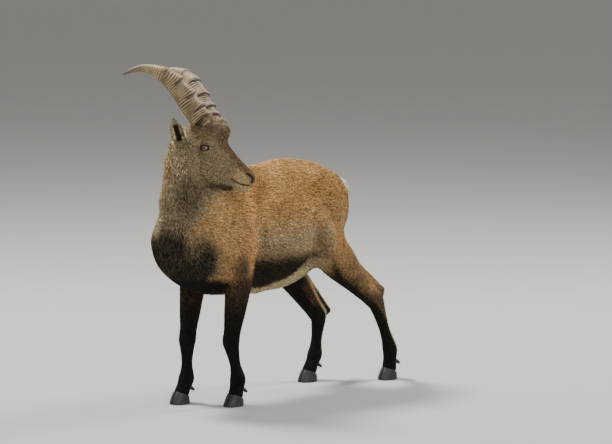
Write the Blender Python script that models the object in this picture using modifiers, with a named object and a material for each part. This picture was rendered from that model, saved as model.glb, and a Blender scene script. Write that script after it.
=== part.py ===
"""A young male alpine ibex, life size, standing with its head turned to its left.

Metres, +Z up. The animal faces -Y, its left side is +X, and it stands on z = 0.
The flesh is modelled whole, from lofted tubes and muscles that a voxel remesh fuses,
and is then parted into named nodes by cuts 0.3 mm wide. Horns, ears, eyes, tail,
claws and dewclaws are pieces of their own, set in pockets with the same gap.
"""

import math

import bmesh
import bpy
import numpy as np

GAP = 0.0003
SHIFT = (0.0298, -0.2646, 0.0120)  # from the construction frame to the middle of the box
GROUND = -SHIFT[2]
FORWARD = np.array([0.0, -1.0, 0.0])
LEFT = np.array([1.0, 0.0, 0.0])
UP = np.array([0.0, 0.0, 1.0])
SIDES = (("left", 1), ("right", -1))

BODY_VOXEL = 0.0060
HEAD_VOXEL = 0.0028
BODY_TRIANGLES = 4600
HEAD_TRIANGLES = 3300

# Trunk, from chest to rump: place along Y, top, level of the widest, bottom, half width,
# and how much the section narrows to its bottom
TRUNK = (
    (-0.262, 0.615, 0.570, 0.525, 0.046, 0.10),
    (-0.232, 0.690, 0.570, 0.455, 0.109, 0.20),
    (-0.160, 0.760, 0.565, 0.405, 0.137, 0.36),
    (-0.060, 0.800, 0.565, 0.376, 0.143, 0.42),
    (0.060, 0.813, 0.555, 0.366, 0.148, 0.36),
    (0.180, 0.817, 0.550, 0.363, 0.158, 0.24),
    (0.300, 0.830, 0.560, 0.369, 0.157, 0.16),
    (0.400, 0.821, 0.580, 0.406, 0.143, 0.12),
    (0.480, 0.803, 0.605, 0.462, 0.127, 0.10),
    (0.540, 0.776, 0.625, 0.505, 0.099, 0.10),
    (0.585, 0.756, 0.640, 0.540, 0.074, 0.05),
    (0.615, 0.722, 0.650, 0.580, 0.040, 0.00),
)
TRUNK_RIDGE = 0.20  # how much a section narrows to its top

# Neck, from shoulders to poll: place, half side, half towards throat, half towards nape,
# and the turn of the throat from the body's heading in degrees
NECK = (
    (0.000, -0.020, 0.600, 0.116, 0.150, 0.150, 0.0),
    (-0.017, -0.129, 0.685, 0.110, 0.114, 0.134, 6.0),
    (-0.020, -0.152, 0.755, 0.082, 0.086, 0.096, 42.0),
    (-0.025, -0.148, 0.820, 0.067, 0.076, 0.076, 76.0),
    (-0.0325, -0.1345, 0.880, 0.059, 0.076, 0.066, 102.0),
    (-0.0385, -0.1220, 0.925, 0.046, 0.055, 0.050, 110.0),
)

# Legs: joints, then half thickness to the side, the front and the back at places
# counted in joints
FORE_JOINTS = {
    "left": ((0.106, -0.140, 0.590), (0.100, 0.004, 0.462), (0.080, -0.024, 0.214),
             (0.083, 0.007, 0.078), (0.085, -0.006, 0.024)),
    "right": ((-0.106, -0.150, 0.590), (-0.100, -0.026, 0.462), (-0.080, -0.080, 0.208),
              (-0.083, -0.083, 0.074), (-0.085, -0.104, 0.024)),
}
HIND_JOINTS = {
    "left": ((0.082, 0.462, 0.660), (0.112, 0.442, 0.500), (0.095, 0.702, 0.290),
             (0.090, 0.786, 0.098), (0.090, 0.782, 0.026)),
    "right": ((-0.082, 0.455, 0.650), (-0.114, 0.412, 0.470), (-0.094, 0.602, 0.226),
              (-0.089, 0.574, 0.082), (-0.087, 0.544, 0.026)),
}
FORE_PROFILE = (
    (0.55, 0.046, 0.072, 0.080),
    (0.85, 0.045, 0.070, 0.070),
    (1.00, 0.043, 0.065, 0.058),
    (1.30, 0.039, 0.050, 0.049),
    (1.60, 0.034, 0.042, 0.040),
    (1.85, 0.0290, 0.033, 0.031),
    (2.00, 0.0300, 0.034, 0.0290),
    (2.20, 0.0240, 0.027, 0.025),
    (2.55, 0.0185, 0.0205, 0.021),
    (2.80, 0.0210, 0.023, 0.026),
    (3.00, 0.0270, 0.029, 0.031),
    (3.50, 0.0245, 0.027, 0.026),
    (4.00, 0.0275, 0.030, 0.025),
    (4.35, 0.0280, 0.032, 0.025),
)
HIND_PROFILE = (
    (0.00, 0.056, 0.100, 0.070),
    (0.50, 0.055, 0.092, 0.064),
    (1.00, 0.050, 0.086, 0.071),
    (1.25, 0.045, 0.074, 0.066),
    (1.55, 0.037, 0.058, 0.044),
    (1.85, 0.029, 0.045, 0.032),
    (2.00, 0.0280, 0.040, 0.032),
    (2.20, 0.0230, 0.030, 0.028),
    (2.55, 0.0190, 0.022, 0.022),
    (2.80, 0.0215, 0.023, 0.025),
    (3.00, 0.0265, 0.028, 0.030),
    (3.50, 0.0240, 0.026, 0.025),
    (4.00, 0.0270, 0.029, 0.025),
    (4.35, 0.0275, 0.031, 0.025),
)

# Muscles and bony points that stand out of the tubes: two ends and two radii.
# The side's sign is put on each x.
MUSCLES = (
    ((0.048, 0.030, 0.740), (0.088, -0.125, 0.605), 0.042, 0.056),  # shoulder blade
    ((0.080, -0.165, 0.575), (0.094, -0.110, 0.555), 0.052, 0.054),  # point of the shoulder
    ((0.092, -0.120, 0.570), (0.100, -0.012, 0.500), 0.052, 0.049),  # upper arm
    ((0.078, -0.150, 0.535), (0.094, -0.040, 0.460), 0.053, 0.048),  # breast to forearm
    ((0.094, 0.022, 0.620), (0.106, 0.022, 0.495), 0.050, 0.036),  # triceps
    ((0.108, 0.018, 0.480), (0.104, 0.030, 0.452), 0.028, 0.021),  # elbow
    ((0.062, 0.400, 0.730), (0.084, 0.450, 0.640), 0.062, 0.070),  # croup
    ((0.088, 0.370, 0.645), (0.114, 0.420, 0.525), 0.058, 0.056),  # front of the thigh
    ((0.066, 0.520, 0.660), (0.092, 0.484, 0.535), 0.040, 0.038),  # back of the thigh
    ((0.048, 0.565, 0.690), (0.066, 0.545, 0.645), 0.030, 0.030),  # seat bone
)
FLANK_FOLD = ((0.108, 0.330, 0.500), (0.112, 0.420, 0.470), 0.030, 0.044)
HEEL = (0.038, 0.023, 0.0190, 0.0155)  # from the hock: back off the cannon, up it, and two radii
TENDON = (0.42, 0.033, 0.0200, 0.0130)  # start between stifle and hock, back from it, two radii
WRIST = (0.024, 0.010, 0.0130)  # the small bone behind the knee: back, up and radius

# Soft bumps and dents of the body, on both sides: place, half sizes, height
BODY_RELIEF = (
    ((0.140, 0.078, 0.600), (0.050, 0.020, 0.110), -0.0060),  # behind the shoulder
    ((0.085, -0.190, 0.640), (0.040, 0.030, 0.070), -0.0070),  # between neck and shoulder
    ((0.130, 0.300, 0.695), (0.050, 0.050, 0.050), -0.0045),  # hollow of the flank
    ((0.105, 0.342, 0.738), (0.034, 0.030, 0.026), 0.0030),  # point of the hip
    ((0.150, 0.325, 0.560), (0.040, 0.030, 0.070), -0.0045),  # before the thigh
    ((0.130, 0.500, 0.590), (0.040, 0.018, 0.080), -0.0050),  # groove of the thigh
    ((0.160, 0.210, 0.560), (0.040, 0.050, 0.120), 0.0030),  # last ribs
    ((0.140, 0.025, 0.460), (0.030, 0.020, 0.020), 0.0040),  # elbow
    ((0.060, -0.225, 0.520), (0.030, 0.040, 0.060), 0.0040),  # breast muscle
    ((0.000, -0.240, 0.500), (0.014, 0.060, 0.090), -0.0050),  # groove of the breast
    ((0.000, -0.020, 0.812), (0.030, 0.070, 0.030), 0.0030),  # withers
    ((0.052, 0.200, 0.815), (0.024, 0.110, 0.030), -0.0030),  # beside the spine
    ((0.000, 0.175, 0.352), (0.020, 0.036, 0.020), 0.0100),  # sheath
)

# Head
HEAD_AT = np.array([0.0434, -0.0916, 0.9005])  # halfway between the eyes
HEAD_TURN = math.radians(110)  # from the body's heading, to the animal's left
HEAD_ROLL = math.radians(7)  # left side down
HEAD_PITCH = math.radians(33.5)  # nose down

# From poll to nose along the head's own axis: place, top, level of the widest, bottom,
# half width
HEAD = (
    (-0.122, -0.020, -0.045, -0.070, 0.030),
    (-0.100, 0.030, -0.028, -0.090, 0.050),
    (-0.060, 0.070, -0.010, -0.104, 0.057),
    (-0.020, 0.088, 0.002, -0.112, 0.056),
    (0.018, 0.075, 0.000, -0.116, 0.053),
    (0.052, 0.051, -0.010, -0.116, 0.046),
    (0.088, 0.042, -0.018, -0.108, 0.039),
    (0.124, 0.035, -0.024, -0.094, 0.0335),
    (0.154, 0.032, -0.019, -0.077, 0.0315),
    (0.179, 0.030, -0.013, -0.058, 0.0295),
    (0.196, 0.023, -0.012, -0.049, 0.0240),
    (0.209, 0.004, -0.014, -0.036, 0.0110),
)

# Ellipsoids added to the head: place (along, out, up), half sizes, mirrored when out > 0
HEAD_FORMS = (
    ((0.011, 0.0470, 0.002), (0.0230, 0.0190, 0.0205)),  # lids
    ((0.000, 0.0400, 0.021), (0.028, 0.0180, 0.0140)),  # brow
    ((0.034, 0.0220, -0.056), (0.070, 0.0230, 0.0500)),  # cheek
    ((-0.020, 0.0230, 0.074), (0.040, 0.0340, 0.0320)),  # forehead under the horns
    ((0.005, 0.0000, 0.070), (0.033, 0.0420, 0.0330)),  # forehead curls
    ((0.186, 0.0140, 0.004), (0.018, 0.0150, 0.0185)),  # nostril wing
    ((0.185, 0.0110, -0.042), (0.021, 0.0135, 0.0135)),  # lower lip
    ((-0.060, 0.0440, -0.048), (0.022, 0.0210, 0.0240)),  # root of the ear
)
# Collar of hair round the foot of a horn: place up the horn, half sizes along it, aside and ahead
COLLAR = (0.012, (0.026, 0.0370, 0.0450))
CROWN_FROM = 0.046  # level in the head above which the forehead and collars flow together

EYE_AT = (0.0115, 0.0485, 0.0020)
EYE_RADIUS = 0.0165
EYE_OPENING = (0.0160, 0.0092)  # half length and half height between the lids
EYE_SLANT = math.radians(36)

NOSTRIL_AT = (0.188, 0.0190, 0.0135)
NOSTRIL_SIZE = (0.0120, 0.0070, 0.0045)
# Mouth line: along, out, up, from the corner to the front
MOUTH = ((0.150, 0.0340, -0.0300), (0.168, 0.0320, -0.0285), (0.186, 0.0265, -0.0250),
         (0.199, 0.0165, -0.0185), (0.2070, 0.0, -0.0150))
MOUTH_REACH = 0.009
MOUTH_DEPTH = 0.005
MOUTH_OPEN = 0.0016

# Middle of a horn in the level head: forward, out and up from between the eyes
HORN = (
    (-0.0025, 0.0315, 0.0710),
    (-0.0196, 0.0360, 0.0931),
    (-0.0577, 0.0460, 0.1421),
    (-0.0860, 0.0580, 0.1820),
    (-0.1176, 0.0720, 0.2183),
    (-0.1491, 0.0850, 0.2425),
    (-0.1849, 0.0960, 0.2564),
    (-0.2145, 0.1075, 0.2602),
    (-0.2418, 0.1180, 0.2537),
    (-0.2635, 0.1260, 0.2444),
    (-0.2805, 0.1320, 0.2333),
)
# Half depth of the horn at each of those places
HORN_HALF_DEPTH = (0.0385, 0.0390, 0.0385, 0.0360, 0.0325, 0.0265, 0.0195, 0.0145, 0.0105,
                   0.0070, 0.0025)
HORN_WIDTH_SHARE = 0.79
HORN_RINGS = 56
HORN_AROUND = 16
# Knobs on the front of a horn: length along it, height, and reach towards base and tip
KNOBS = ((0.030, 0.0070, 0.0060, 0.0130), (0.064, 0.0078, 0.0055, 0.0150),
         (0.120, 0.0078, 0.0055, 0.0180), (0.183, 0.0066, 0.0060, 0.0180),
         (0.234, 0.0034, 0.0070, 0.0150))

# Ear in the level head: forward, out and up
EAR_ROOT = (-0.076, 0.061, -0.010)
EAR_TIP = (-0.0995, 0.087, 0.089)
EAR_HALF_WIDTH = 0.0225
EAR_WALL = 0.0034

CLAW_HALF_WIDTH = 0.0285  # of both claws together
CLAW_FRONT = 0.0500
CLAW_BACK = 0.0230
CLAW_CLEFT = 0.0016
CLAW_SPREAD = 0.0035  # how far a toe's tip turns out from the cleft
CORONET_SLOPE = 0.42
CORONET_HEIGHT = 0.0330
DEWCLAW = (0.0085, 0.0240)  # radius and length

TAIL = (
    (0.0, 0.560, 0.724, 0.018, 0.010, 0.020),
    (0.0, 0.594, 0.730, 0.024, 0.011, 0.021),
    (0.0, 0.626, 0.720, 0.026, 0.012, 0.020),
    (0.0, 0.648, 0.692, 0.022, 0.011, 0.014),
    (0.0, 0.654, 0.662, 0.006, 0.004, 0.004),
)


def unit(vector):
    return np.asarray(vector) / np.linalg.norm(vector)


def spline(rows, count):
    """A Catmull-Rom curve through the rows, every column alike, in even steps."""
    rows = np.asarray(rows, float)
    ends = np.vstack([2 * rows[0] - rows[1], rows, 2 * rows[-1] - rows[-2]])
    place = np.linspace(0, len(rows) - 1, count)
    index = np.minimum(place.astype(int), len(rows) - 2)
    f = (place - index)[:, None]
    a, b, c, d = (ends[index + k] for k in range(4))
    return 0.5 * (2 * b + (c - a) * f + (2 * a - 5 * b + 4 * c - d) * f**2
                  + (3 * b - a - 3 * c + d) * f**3)


def skin_of(rings):
    """Points and faces of rings joined in order, closed by a fan at each end."""
    count, around = rings.shape[:2]
    points = np.vstack([rings.reshape(-1, 3), rings[:1].mean(1), rings[-1:].mean(1)])
    first, last = len(points) - 2, len(points) - 1
    faces = []
    for j in range(around):
        k = (j + 1) % around
        for i in range(count - 1):
            row, above = i * around, (i + 1) * around
            faces.append((row + j, row + k, above + k, above + j))
        faces.append((first, k, j))
        faces.append((last, (count - 1) * around + j, (count - 1) * around + k))
    return points, faces


def section(around, power):
    """Across and along shares of a rounded section."""
    angle = np.linspace(0, 2 * math.pi, around, endpoint=False)
    across = np.sign(np.cos(angle)) * np.abs(np.cos(angle)) ** (2 / power)
    along = np.sign(np.sin(angle)) * np.abs(np.sin(angle)) ** (2 / power)
    return across, along


def loft(centres, side, front, half_side, half_front, half_back, around=20, power=2.0,
         narrow_front=0.0, narrow_back=0.0):
    """A closed tube whose sections are two half ellipses on one axis."""
    across, along = section(around, power)
    count = len(centres)
    side, front = (np.broadcast_to(v, (count, 3)) for v in (side, front))
    narrow = np.where(along > 0, np.broadcast_to(narrow_front, count)[:, None],
                      np.broadcast_to(narrow_back, count)[:, None]) * np.abs(along)
    depth = np.where(along > 0, half_front[:, None], half_back[:, None]) * along
    width = half_side[:, None] * across * (1 - narrow)
    return skin_of(centres[:, None] + side[:, None] * width[..., None]
                   + front[:, None] * depth[..., None])


def halved(form):
    """The same skin with every four-sided face parted along the same diagonal."""
    parted = []
    for face in form[1]:
        if len(face) == 4:
            parted += [(face[0], face[1], face[2]), (face[0], face[2], face[3])]
        else:
            parted.append(face)
    return form[0], parted


def path_of(centres):
    path = np.gradient(centres, axis=0)
    return path / np.linalg.norm(path, axis=1)[:, None]


def across_path(direction, path):
    """The direction, turned square to the path at each of its points."""
    square = direction - path * (direction * path).sum(1)[:, None]
    return square / np.linalg.norm(square, axis=1)[:, None]


def trunk_form():
    y, top, wide, bottom, half, keel = spline(TRUNK, 60).T
    centres = np.column_stack([np.zeros_like(y), y, wide])
    return loft(centres, LEFT, UP, half, top - wide, wide - bottom, 48, 2.15, TRUNK_RIDGE, keel)


def neck_form():
    rows = spline(NECK, 32)
    turn = np.radians(rows[:, 6])
    path = path_of(rows[:, :3])
    throat = across_path(np.column_stack([np.sin(turn), -np.cos(turn), 0 * turn]), path)
    return loft(rows[:, :3], np.cross(path, throat), throat, *rows[:, 3:6].T, 32)


def level_axes():
    """Heading, left and up of the head with its roll but not its pitch."""
    heading = np.array([math.sin(HEAD_TURN), -math.cos(HEAD_TURN), 0.0])
    left = math.cos(HEAD_ROLL) * np.cross(UP, heading) - math.sin(HEAD_ROLL) * UP
    return heading, left, np.cross(heading, left)


def head_axes():
    """Forward, left and up of the head."""
    heading, left, up = level_axes()
    return (math.cos(HEAD_PITCH) * heading - math.sin(HEAD_PITCH) * up, left,
            math.sin(HEAD_PITCH) * heading + math.cos(HEAD_PITCH) * up)


def from_eyes(axes, place):
    """A point, or a row of points, counted from between the eyes on the axes."""
    return HEAD_AT + np.asarray(place) @ np.array(axes)


def head_point(along, left, up):
    return from_eyes(head_axes(), (along, left, up))


def level_point(along, left, up):
    return from_eyes(level_axes(), (along, left, up))


def head_form():
    along, top, wide, bottom, half = spline(HEAD, 50).T
    forward, left, up = head_axes()
    centres = HEAD_AT + along[:, None] * forward + wide[:, None] * up
    return loft(centres, left, up, half, top - wide, wide - bottom, 36, 2.2, 0.18, 0.25)


def ball(centre, axes, sizes, around=20, rows=12):
    """An ellipsoid on three axes."""
    turn = np.linspace(0.06, math.pi - 0.06, rows)
    centres = centre - np.cos(turn)[:, None] * sizes[0] * axes[0]
    return loft(centres, axes[1], axes[2], *(np.sin(turn) * sizes[k] for k in (1, 2, 2)), around)


def capsule(start, end, radius_start, radius_end, around=20):
    """A tapered capsule with round ends."""
    start, end = np.array(start), np.array(end)
    axis = unit(end - start)
    side = unit(np.cross(axis, [0.31, 0.17, 0.93]))
    turn = np.linspace(0.08, math.pi / 2, 7)
    place = np.concatenate([-np.cos(turn) * radius_start,
                            np.linalg.norm(end - start) + np.cos(turn[::-1]) * radius_end])
    ring = np.concatenate([np.sin(turn) * radius_start, np.sin(turn[::-1]) * radius_end])
    return loft(start + axis * place[:, None], side, np.cross(axis, side), ring, ring, ring, around)


def leg_form(joints, profile):
    """A leg as one tube along its joints; its end runs on below the coronet."""
    joints = np.array(joints)
    rows = spline(profile, 64)
    place = np.clip(rows[:, 0], 0, len(joints) - 1.001)
    index = place.astype(int)
    share = (place - index)[:, None]
    centres = joints[index] * (1 - share) + joints[index + 1] * share
    centres += np.maximum(rows[:, 0] - (len(joints) - 1), 0)[:, None] * (joints[-1] - joints[-2])
    for _ in range(6):
        centres[1:-1] = (centres[:-2] + 2 * centres[1:-1] + centres[2:]) / 4
    path = path_of(centres)
    front = across_path(FORWARD, path)
    return loft(centres, np.cross(path, front), front, *rows[:, 1:].T, 20)


def on_side(point, sign):
    return np.array(point) * (sign, 1, 1)


def body_forms():
    """Every closed form that the trunk, neck and legs are fused from."""
    forms = [trunk_form(), neck_form()]
    for side, sign in SIDES:
        forms.append(leg_form(FORE_JOINTS[side], FORE_PROFILE))
        forms.append(leg_form(HIND_JOINTS[side], HIND_PROFILE))
        for start, end, first, last in MUSCLES + (FLANK_FOLD,):
            forms.append(capsule(on_side(start, sign), on_side(end, sign), first, last))
        stifle, hock, fetlock = np.array(HIND_JOINTS[side][1:4])
        cannon = unit(hock - fetlock)
        heel = hock + HEEL[0] * unit(np.cross(cannon, LEFT)) + HEEL[1] * cannon
        forms.append(capsule(hock, heel, HEEL[2], HEEL[3]))
        behind = unit(np.cross(stifle - hock, LEFT))
        start = stifle + TENDON[0] * (hock - stifle) + TENDON[1] * behind
        forms.append(capsule(start, heel, TENDON[2], TENDON[3]))
        knee = np.array(FORE_JOINTS[side][2])
        forms.append(ball(knee + (0, WRIST[0], WRIST[1]), np.eye(3), (WRIST[2],) * 3))
    return forms


def head_forms():
    forms = [head_form(), neck_form()]
    axes = head_axes()
    for (along, out, up), sizes in HEAD_FORMS:
        for sign in (1, -1) if out > 0 else (1,):
            forms.append(ball(head_point(along, sign * out, up), axes, sizes))
    for _, sign in SIDES:
        _, _, centres, side, front = horn_path(sign)
        axis = unit(centres[3] - centres[0])
        forms.append(ball(centres[0] + axis * COLLAR[0], (axis, side[0], front[0]), COLLAR[1]))
    return forms


def horn_path(sign):
    """Length along the horn, half depth, middle, and the directions across and to the front."""
    rows = spline(np.column_stack([HORN, HORN_HALF_DEPTH]), 200)
    length = np.concatenate([[0], np.cumsum(np.linalg.norm(np.diff(rows[:, :3], axis=0), axis=1))])
    place = np.linspace(0, length[-1], HORN_RINGS)
    rows = np.column_stack([np.interp(place, length, column) for column in rows.T])
    centres = from_eyes(level_axes(), rows[:, :3] * (1, sign, 1))
    path = path_of(centres)
    front = across_path(np.cross(head_axes()[1], path), path)
    front *= np.sign(front[0] @ level_axes()[0])
    return place, rows[:, 3], centres, np.cross(path, front), front


def horn(sign, grow=0.0):
    """A horn with knobs across its front face, steep towards the base and long towards the tip.

    grow adds to every half size.
    """
    place, half, centres, side, front = horn_path(sign)
    half = half + grow
    centres[0] -= unit(centres[1] - centres[0]) * grow
    across, along = section(HORN_AROUND, 2.7)
    rise = np.zeros(len(place))
    for where, height, below, above in KNOBS:
        reach = np.where(place < where, below, above) + grow
        rise += (height + 0.5 * grow) * np.exp(-((place - where) / reach) ** 2)
    knob = rise[:, None] * np.clip(along, 0, 1) ** 0.7
    depth = half[:, None] * along * np.where(along > 0, 0.94, 1.0) + knob
    narrow = 1 - 0.22 * np.clip(-along, 0, 1)
    width = half[:, None] * HORN_WIDTH_SHARE * across * narrow + 0.35 * knob * across
    return halved(skin_of(centres[:, None] + side[:, None] * width[..., None]
                          + front[:, None] * depth[..., None]))


def eye(sign, grow=0.0):
    forward, left, up = head_axes()
    size = EYE_RADIUS + grow
    return ball(head_point(EYE_AT[0], sign * EYE_AT[1], EYE_AT[2]), (sign * left, up, forward), (size,) * 3, 14, 9)


def eye_opening(sign):
    """A flaring almond that opens the lids from the middle of the eye outwards."""
    forward, left, up = head_axes()
    turn = np.linspace(0, 2 * math.pi, 20, endpoint=False)
    length, height = np.cos(turn), np.sign(np.sin(turn)) * np.abs(np.sin(turn)) ** 1.25
    slanted = (math.cos(EYE_SLANT) * forward + math.sin(EYE_SLANT) * up,
               math.cos(EYE_SLANT) * up - math.sin(EYE_SLANT) * forward)
    rings = []
    for out, size in ((0.002, 0.86), (0.012, 1.0), (0.040, 1.7)):
        middle = head_point(EYE_AT[0], sign * (EYE_AT[1] + out), EYE_AT[2])
        rings.append(middle + (length * EYE_OPENING[0] * size)[:, None] * slanted[0]
                     + (height * EYE_OPENING[1] * size)[:, None] * slanted[1])
    return skin_of(np.array(rings))


def nostril(sign):
    forward, left, up = head_axes()
    slant = unit(forward * 0.75 + sign * left * 0.55 + up * 0.10)
    across = unit(np.cross(slant, up))
    return ball(head_point(NOSTRIL_AT[0], sign * NOSTRIL_AT[1], NOSTRIL_AT[2]),
                (unit(forward * 0.9 - up * 0.35), across, unit(np.cross(forward, across))),
                NOSTRIL_SIZE, 14, 9)


def mouth_blade():
    """A thin wedge around the muzzle that cuts the line between the lips."""
    forward, left, up = head_axes()
    half = spline(MOUTH, 12)
    line = np.vstack([half, half[-2::-1] * (1, -1, 1)])
    path = np.gradient(line[:, :2], axis=0)
    path /= np.linalg.norm(path, axis=1)[:, None]
    outward = np.column_stack([-path[:, 1], path[:, 0]])
    outward *= np.sign((outward * (line[:, :2] - (0.12, 0))).sum(1))[:, None]
    rings = []
    for (along, out, rise), (ahead, aside) in zip(line, outward):
        corners = []
        for reach, thick in ((MOUTH_REACH, 2.6), (MOUTH_REACH, -2.6), (-MOUTH_DEPTH, -0.3), (-MOUTH_DEPTH, 0.3)):
            corners.append(head_point(along + ahead * reach, out + aside * reach, rise + thick * MOUTH_OPEN / 2))
        rings.append(corners)
    return skin_of(np.array(rings))


def ear(sign):
    """A cupped leaf with its opening turned out; its root is a solid stalk."""
    root = level_point(EAR_ROOT[0], sign * EAR_ROOT[1], EAR_ROOT[2])
    tip = level_point(EAR_TIP[0], sign * EAR_TIP[1], EAR_TIP[2])
    axis = unit(tip - root)
    forward, left, up = head_axes()
    opening = unit(forward * 0.45 + sign * left + up * 0.15)
    opening = unit(opening - axis * (opening @ axis))
    side = np.cross(axis, opening)
    length = np.linalg.norm(tip - root)
    rings = []
    for place, width, bend, wall in (
        (-0.13, 0.48, 0.10, 5.0), (0.00, 0.50, 0.25, 4.2), (0.07, 0.56, 0.70, 2.2),
        (0.16, 0.72, 1.05, 1.2), (0.28, 0.90, 1.10, 1.0), (0.42, 1.00, 1.00, 1.0),
        (0.57, 0.98, 0.85, 0.9), (0.72, 0.84, 0.66, 0.85), (0.85, 0.60, 0.45, 0.8),
        (0.95, 0.32, 0.25, 0.7), (1.00, 0.10, 0.10, 0.6),
    ):
        half = EAR_HALF_WIDTH * width
        thick = EAR_WALL * wall
        turn = np.linspace(-1, 1, 9)
        across = half * np.sin(turn * math.pi / 2 * min(1, 0.75 + 0.25 * bend))
        sunk = -half * bend * np.cos(turn * math.pi / 2) - thick / 2
        outer = axis * length * place + across[:, None] * side + sunk[:, None] * opening
        edge = np.sqrt(np.clip(1 - (turn * 0.96) ** 2, 0, 1))
        inner = outer + (thick * np.maximum(edge, 0.35))[:, None] * opening
        rings.append(root + np.vstack([outer, inner[::-1]]))
    return skin_of(np.array(rings))


def tail(grow=0.0):
    rows = spline(TAIL, 10)
    path = path_of(rows[:, :3])
    front = across_path(UP, path)
    rows[0, :3] -= path[0] * grow
    return loft(rows[:, :3], np.cross(path, front), front, *(rows[:, 3:] + grow).T, 12)


def coronet(joints):
    """A point on the plane where hair meets horn, and the plane's normal."""
    foot = np.array(joints[-1])
    return np.array([foot[0], foot[1], GROUND + CORONET_HEIGHT]), unit(UP - CORONET_SLOPE * FORWARD)


def claw(joints, sign):
    """One half of a cloven hoof: flat sole, sloping toe, top in the coronet's plane, and a
    cleft that opens towards the toe.
    """
    middle, _ = coronet(joints)
    turn = np.linspace(0, math.pi, 11)
    ahead = np.where(np.cos(turn) > 0, CLAW_FRONT, CLAW_BACK) * np.cos(turn)
    out = CLAW_HALF_WIDTH * np.sin(turn) ** np.where(np.cos(turn) > 0, 1.0, 0.7)
    rings = []
    for height, front, back, width in ((0.0, 1.00, 0.99, 1.03), (0.18, 0.98, 1.00, 1.05),
                                       (0.55, 0.81, 1.00, 1.02), (1.0, 0.60, 0.97, 0.96)):
        forward = ahead * np.where(ahead > 0, front, back)
        aside = out * width + CLAW_CLEFT / 2
        forward = np.append(forward, [forward[-1] * 0.5, forward[0] * 0.5])
        aside = np.append(aside, [CLAW_CLEFT / 2] * 2)
        aside += CLAW_SPREAD * np.clip(forward / CLAW_FRONT, 0, 1) ** 2
        top = middle[2] + CORONET_SLOPE * forward - GAP
        rise = GROUND + (top - GROUND) * height
        rings.append(np.column_stack([middle[0] + sign * aside, middle[1] - forward, rise]))
    return skin_of(np.array(rings))


def dewclaw(joints, sign, grow=0.0):
    """A short blunt cone behind and beside the pastern, pointing back and down."""
    fetlock, foot = np.array(joints[-2]), np.array(joints[-1])
    place = fetlock * 0.42 + foot * 0.58
    start = place + (sign * 0.0130, 0.0140, 0.0030)
    axis = unit([sign * 0.45, 0.62, -0.62])
    radius, length = DEWCLAW
    turn = np.array([0.0, 0.25, 0.6, 0.85, 1.0])
    ring = radius * np.array([0.75, 1.0, 0.92, 0.66, 0.28]) + grow
    centres = start + axis * (turn * length + np.where(turn > 0.9, grow, np.where(turn < 0.1, -grow, 0)))[:, None]
    side = unit(np.cross(axis, UP))
    return loft(centres, side, np.cross(axis, side), ring * 1.1, ring * 0.8, ring * 0.8, 8)


def plate(middle, normal, along, size, thickness=GAP, shift=0.0):
    """A box as thick as asked, flat to the normal."""
    normal = unit(normal)
    along = unit(np.asarray(along, float) - normal * (np.asarray(along, float) @ normal))
    across = np.cross(normal, along)
    rings = []
    for rise in (-thickness / 2, thickness / 2):
        corners = [middle + normal * (rise + shift) + along * a * size[0] + across * b * size[1]
                   for a, b in ((-1, -1), (1, -1), (1, 1), (-1, 1))]
        rings.append(corners)
    return np.array(rings).reshape(8, 3), [(3, 2, 1, 0), (4, 5, 6, 7), (0, 1, 5, 4), (1, 2, 6, 5),
                                           (2, 3, 7, 6), (3, 0, 4, 7)]


HEAD_CUT = (np.array([-0.025, -0.146, 0.822]), unit(UP + 0.55 * level_axes()[0]))
NECK_CUT = (np.array([0.0, -0.130, 0.728]), unit([0.0, -0.487, 0.873]))


def body_cuts():
    """Plates that part the neck and the legs, and boxes that take the feet off."""
    cuts = [plate(*NECK_CUT, LEFT, (0.30, 0.20))]
    for side, sign in SIDES:
        fore, hind = np.array(FORE_JOINTS[side]), np.array(HIND_JOINTS[side])
        cuts.append(plate([sign * 0.100, fore[1][1] - 0.01, 0.385], unit([-sign * 0.56, 0, 0.83]), FORWARD, (0.13, 0.09)))
        cuts.append(plate(fore[2], fore[3] - fore[1], FORWARD, (0.05, 0.05)))
        cuts.append(plate([sign * 0.105, 0.470, 0.4285], unit([0, -0.53, 0.85]), LEFT, (0.075, 0.17)))
        cuts.append(plate(hind[2] + (0, 0.004, -0.026), hind[3] - hind[2], FORWARD, (0.055, 0.05)))
        for joints in (fore, hind):
            middle, normal = coronet(joints)
            cuts.append(plate(middle, normal, FORWARD, (0.07, 0.07), 0.10, -0.05))
    return cuts


def merged(forms):
    points, faces, count = [], [], 0
    for form_points, form_faces in forms:
        points.append(form_points)
        faces += [tuple(k + count for k in face) for face in form_faces]
        count += len(form_points)
    return np.vstack(points), faces


def add_mesh(name, form, collection):
    mesh = bpy.data.meshes.new(name)
    mesh.from_pydata([tuple(p) for p in form[0]], [], form[1])
    work = bmesh.new()
    work.from_mesh(mesh)
    bmesh.ops.recalc_face_normals(work, faces=work.faces)
    work.to_mesh(mesh)
    work.free()
    made = bpy.data.objects.new(name, mesh)
    collection.objects.link(made)
    return made


def applied(made):
    """The object with its modifiers applied to its mesh."""
    graph = bpy.context.evaluated_depsgraph_get()
    mesh = bpy.data.meshes.new_from_object(made.evaluated_get(graph))
    made.modifiers.clear()
    made.data = mesh
    return made


def relax(made, share_at, rounds):
    """Laplacian smoothing with its own share at every point."""
    mesh = made.data
    count = len(mesh.vertices)
    points = np.empty(count * 3)
    mesh.vertices.foreach_get("co", points)
    points = points.reshape(-1, 3)
    edges = np.empty(len(mesh.edges) * 2, int)
    mesh.edges.foreach_get("vertices", edges)
    a, b = edges.reshape(-1, 2).T
    number = np.bincount(a, minlength=count) + np.bincount(b, minlength=count)
    share = share_at(points)[:, None]
    for _ in range(rounds):
        total = np.column_stack([np.bincount(a, points[b, k], count) + np.bincount(b, points[a, k], count)
                                 for k in range(3)])
        points = points + share * (total / number[:, None] - points)
    mesh.vertices.foreach_set("co", points.ravel())
    mesh.update()


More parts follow.
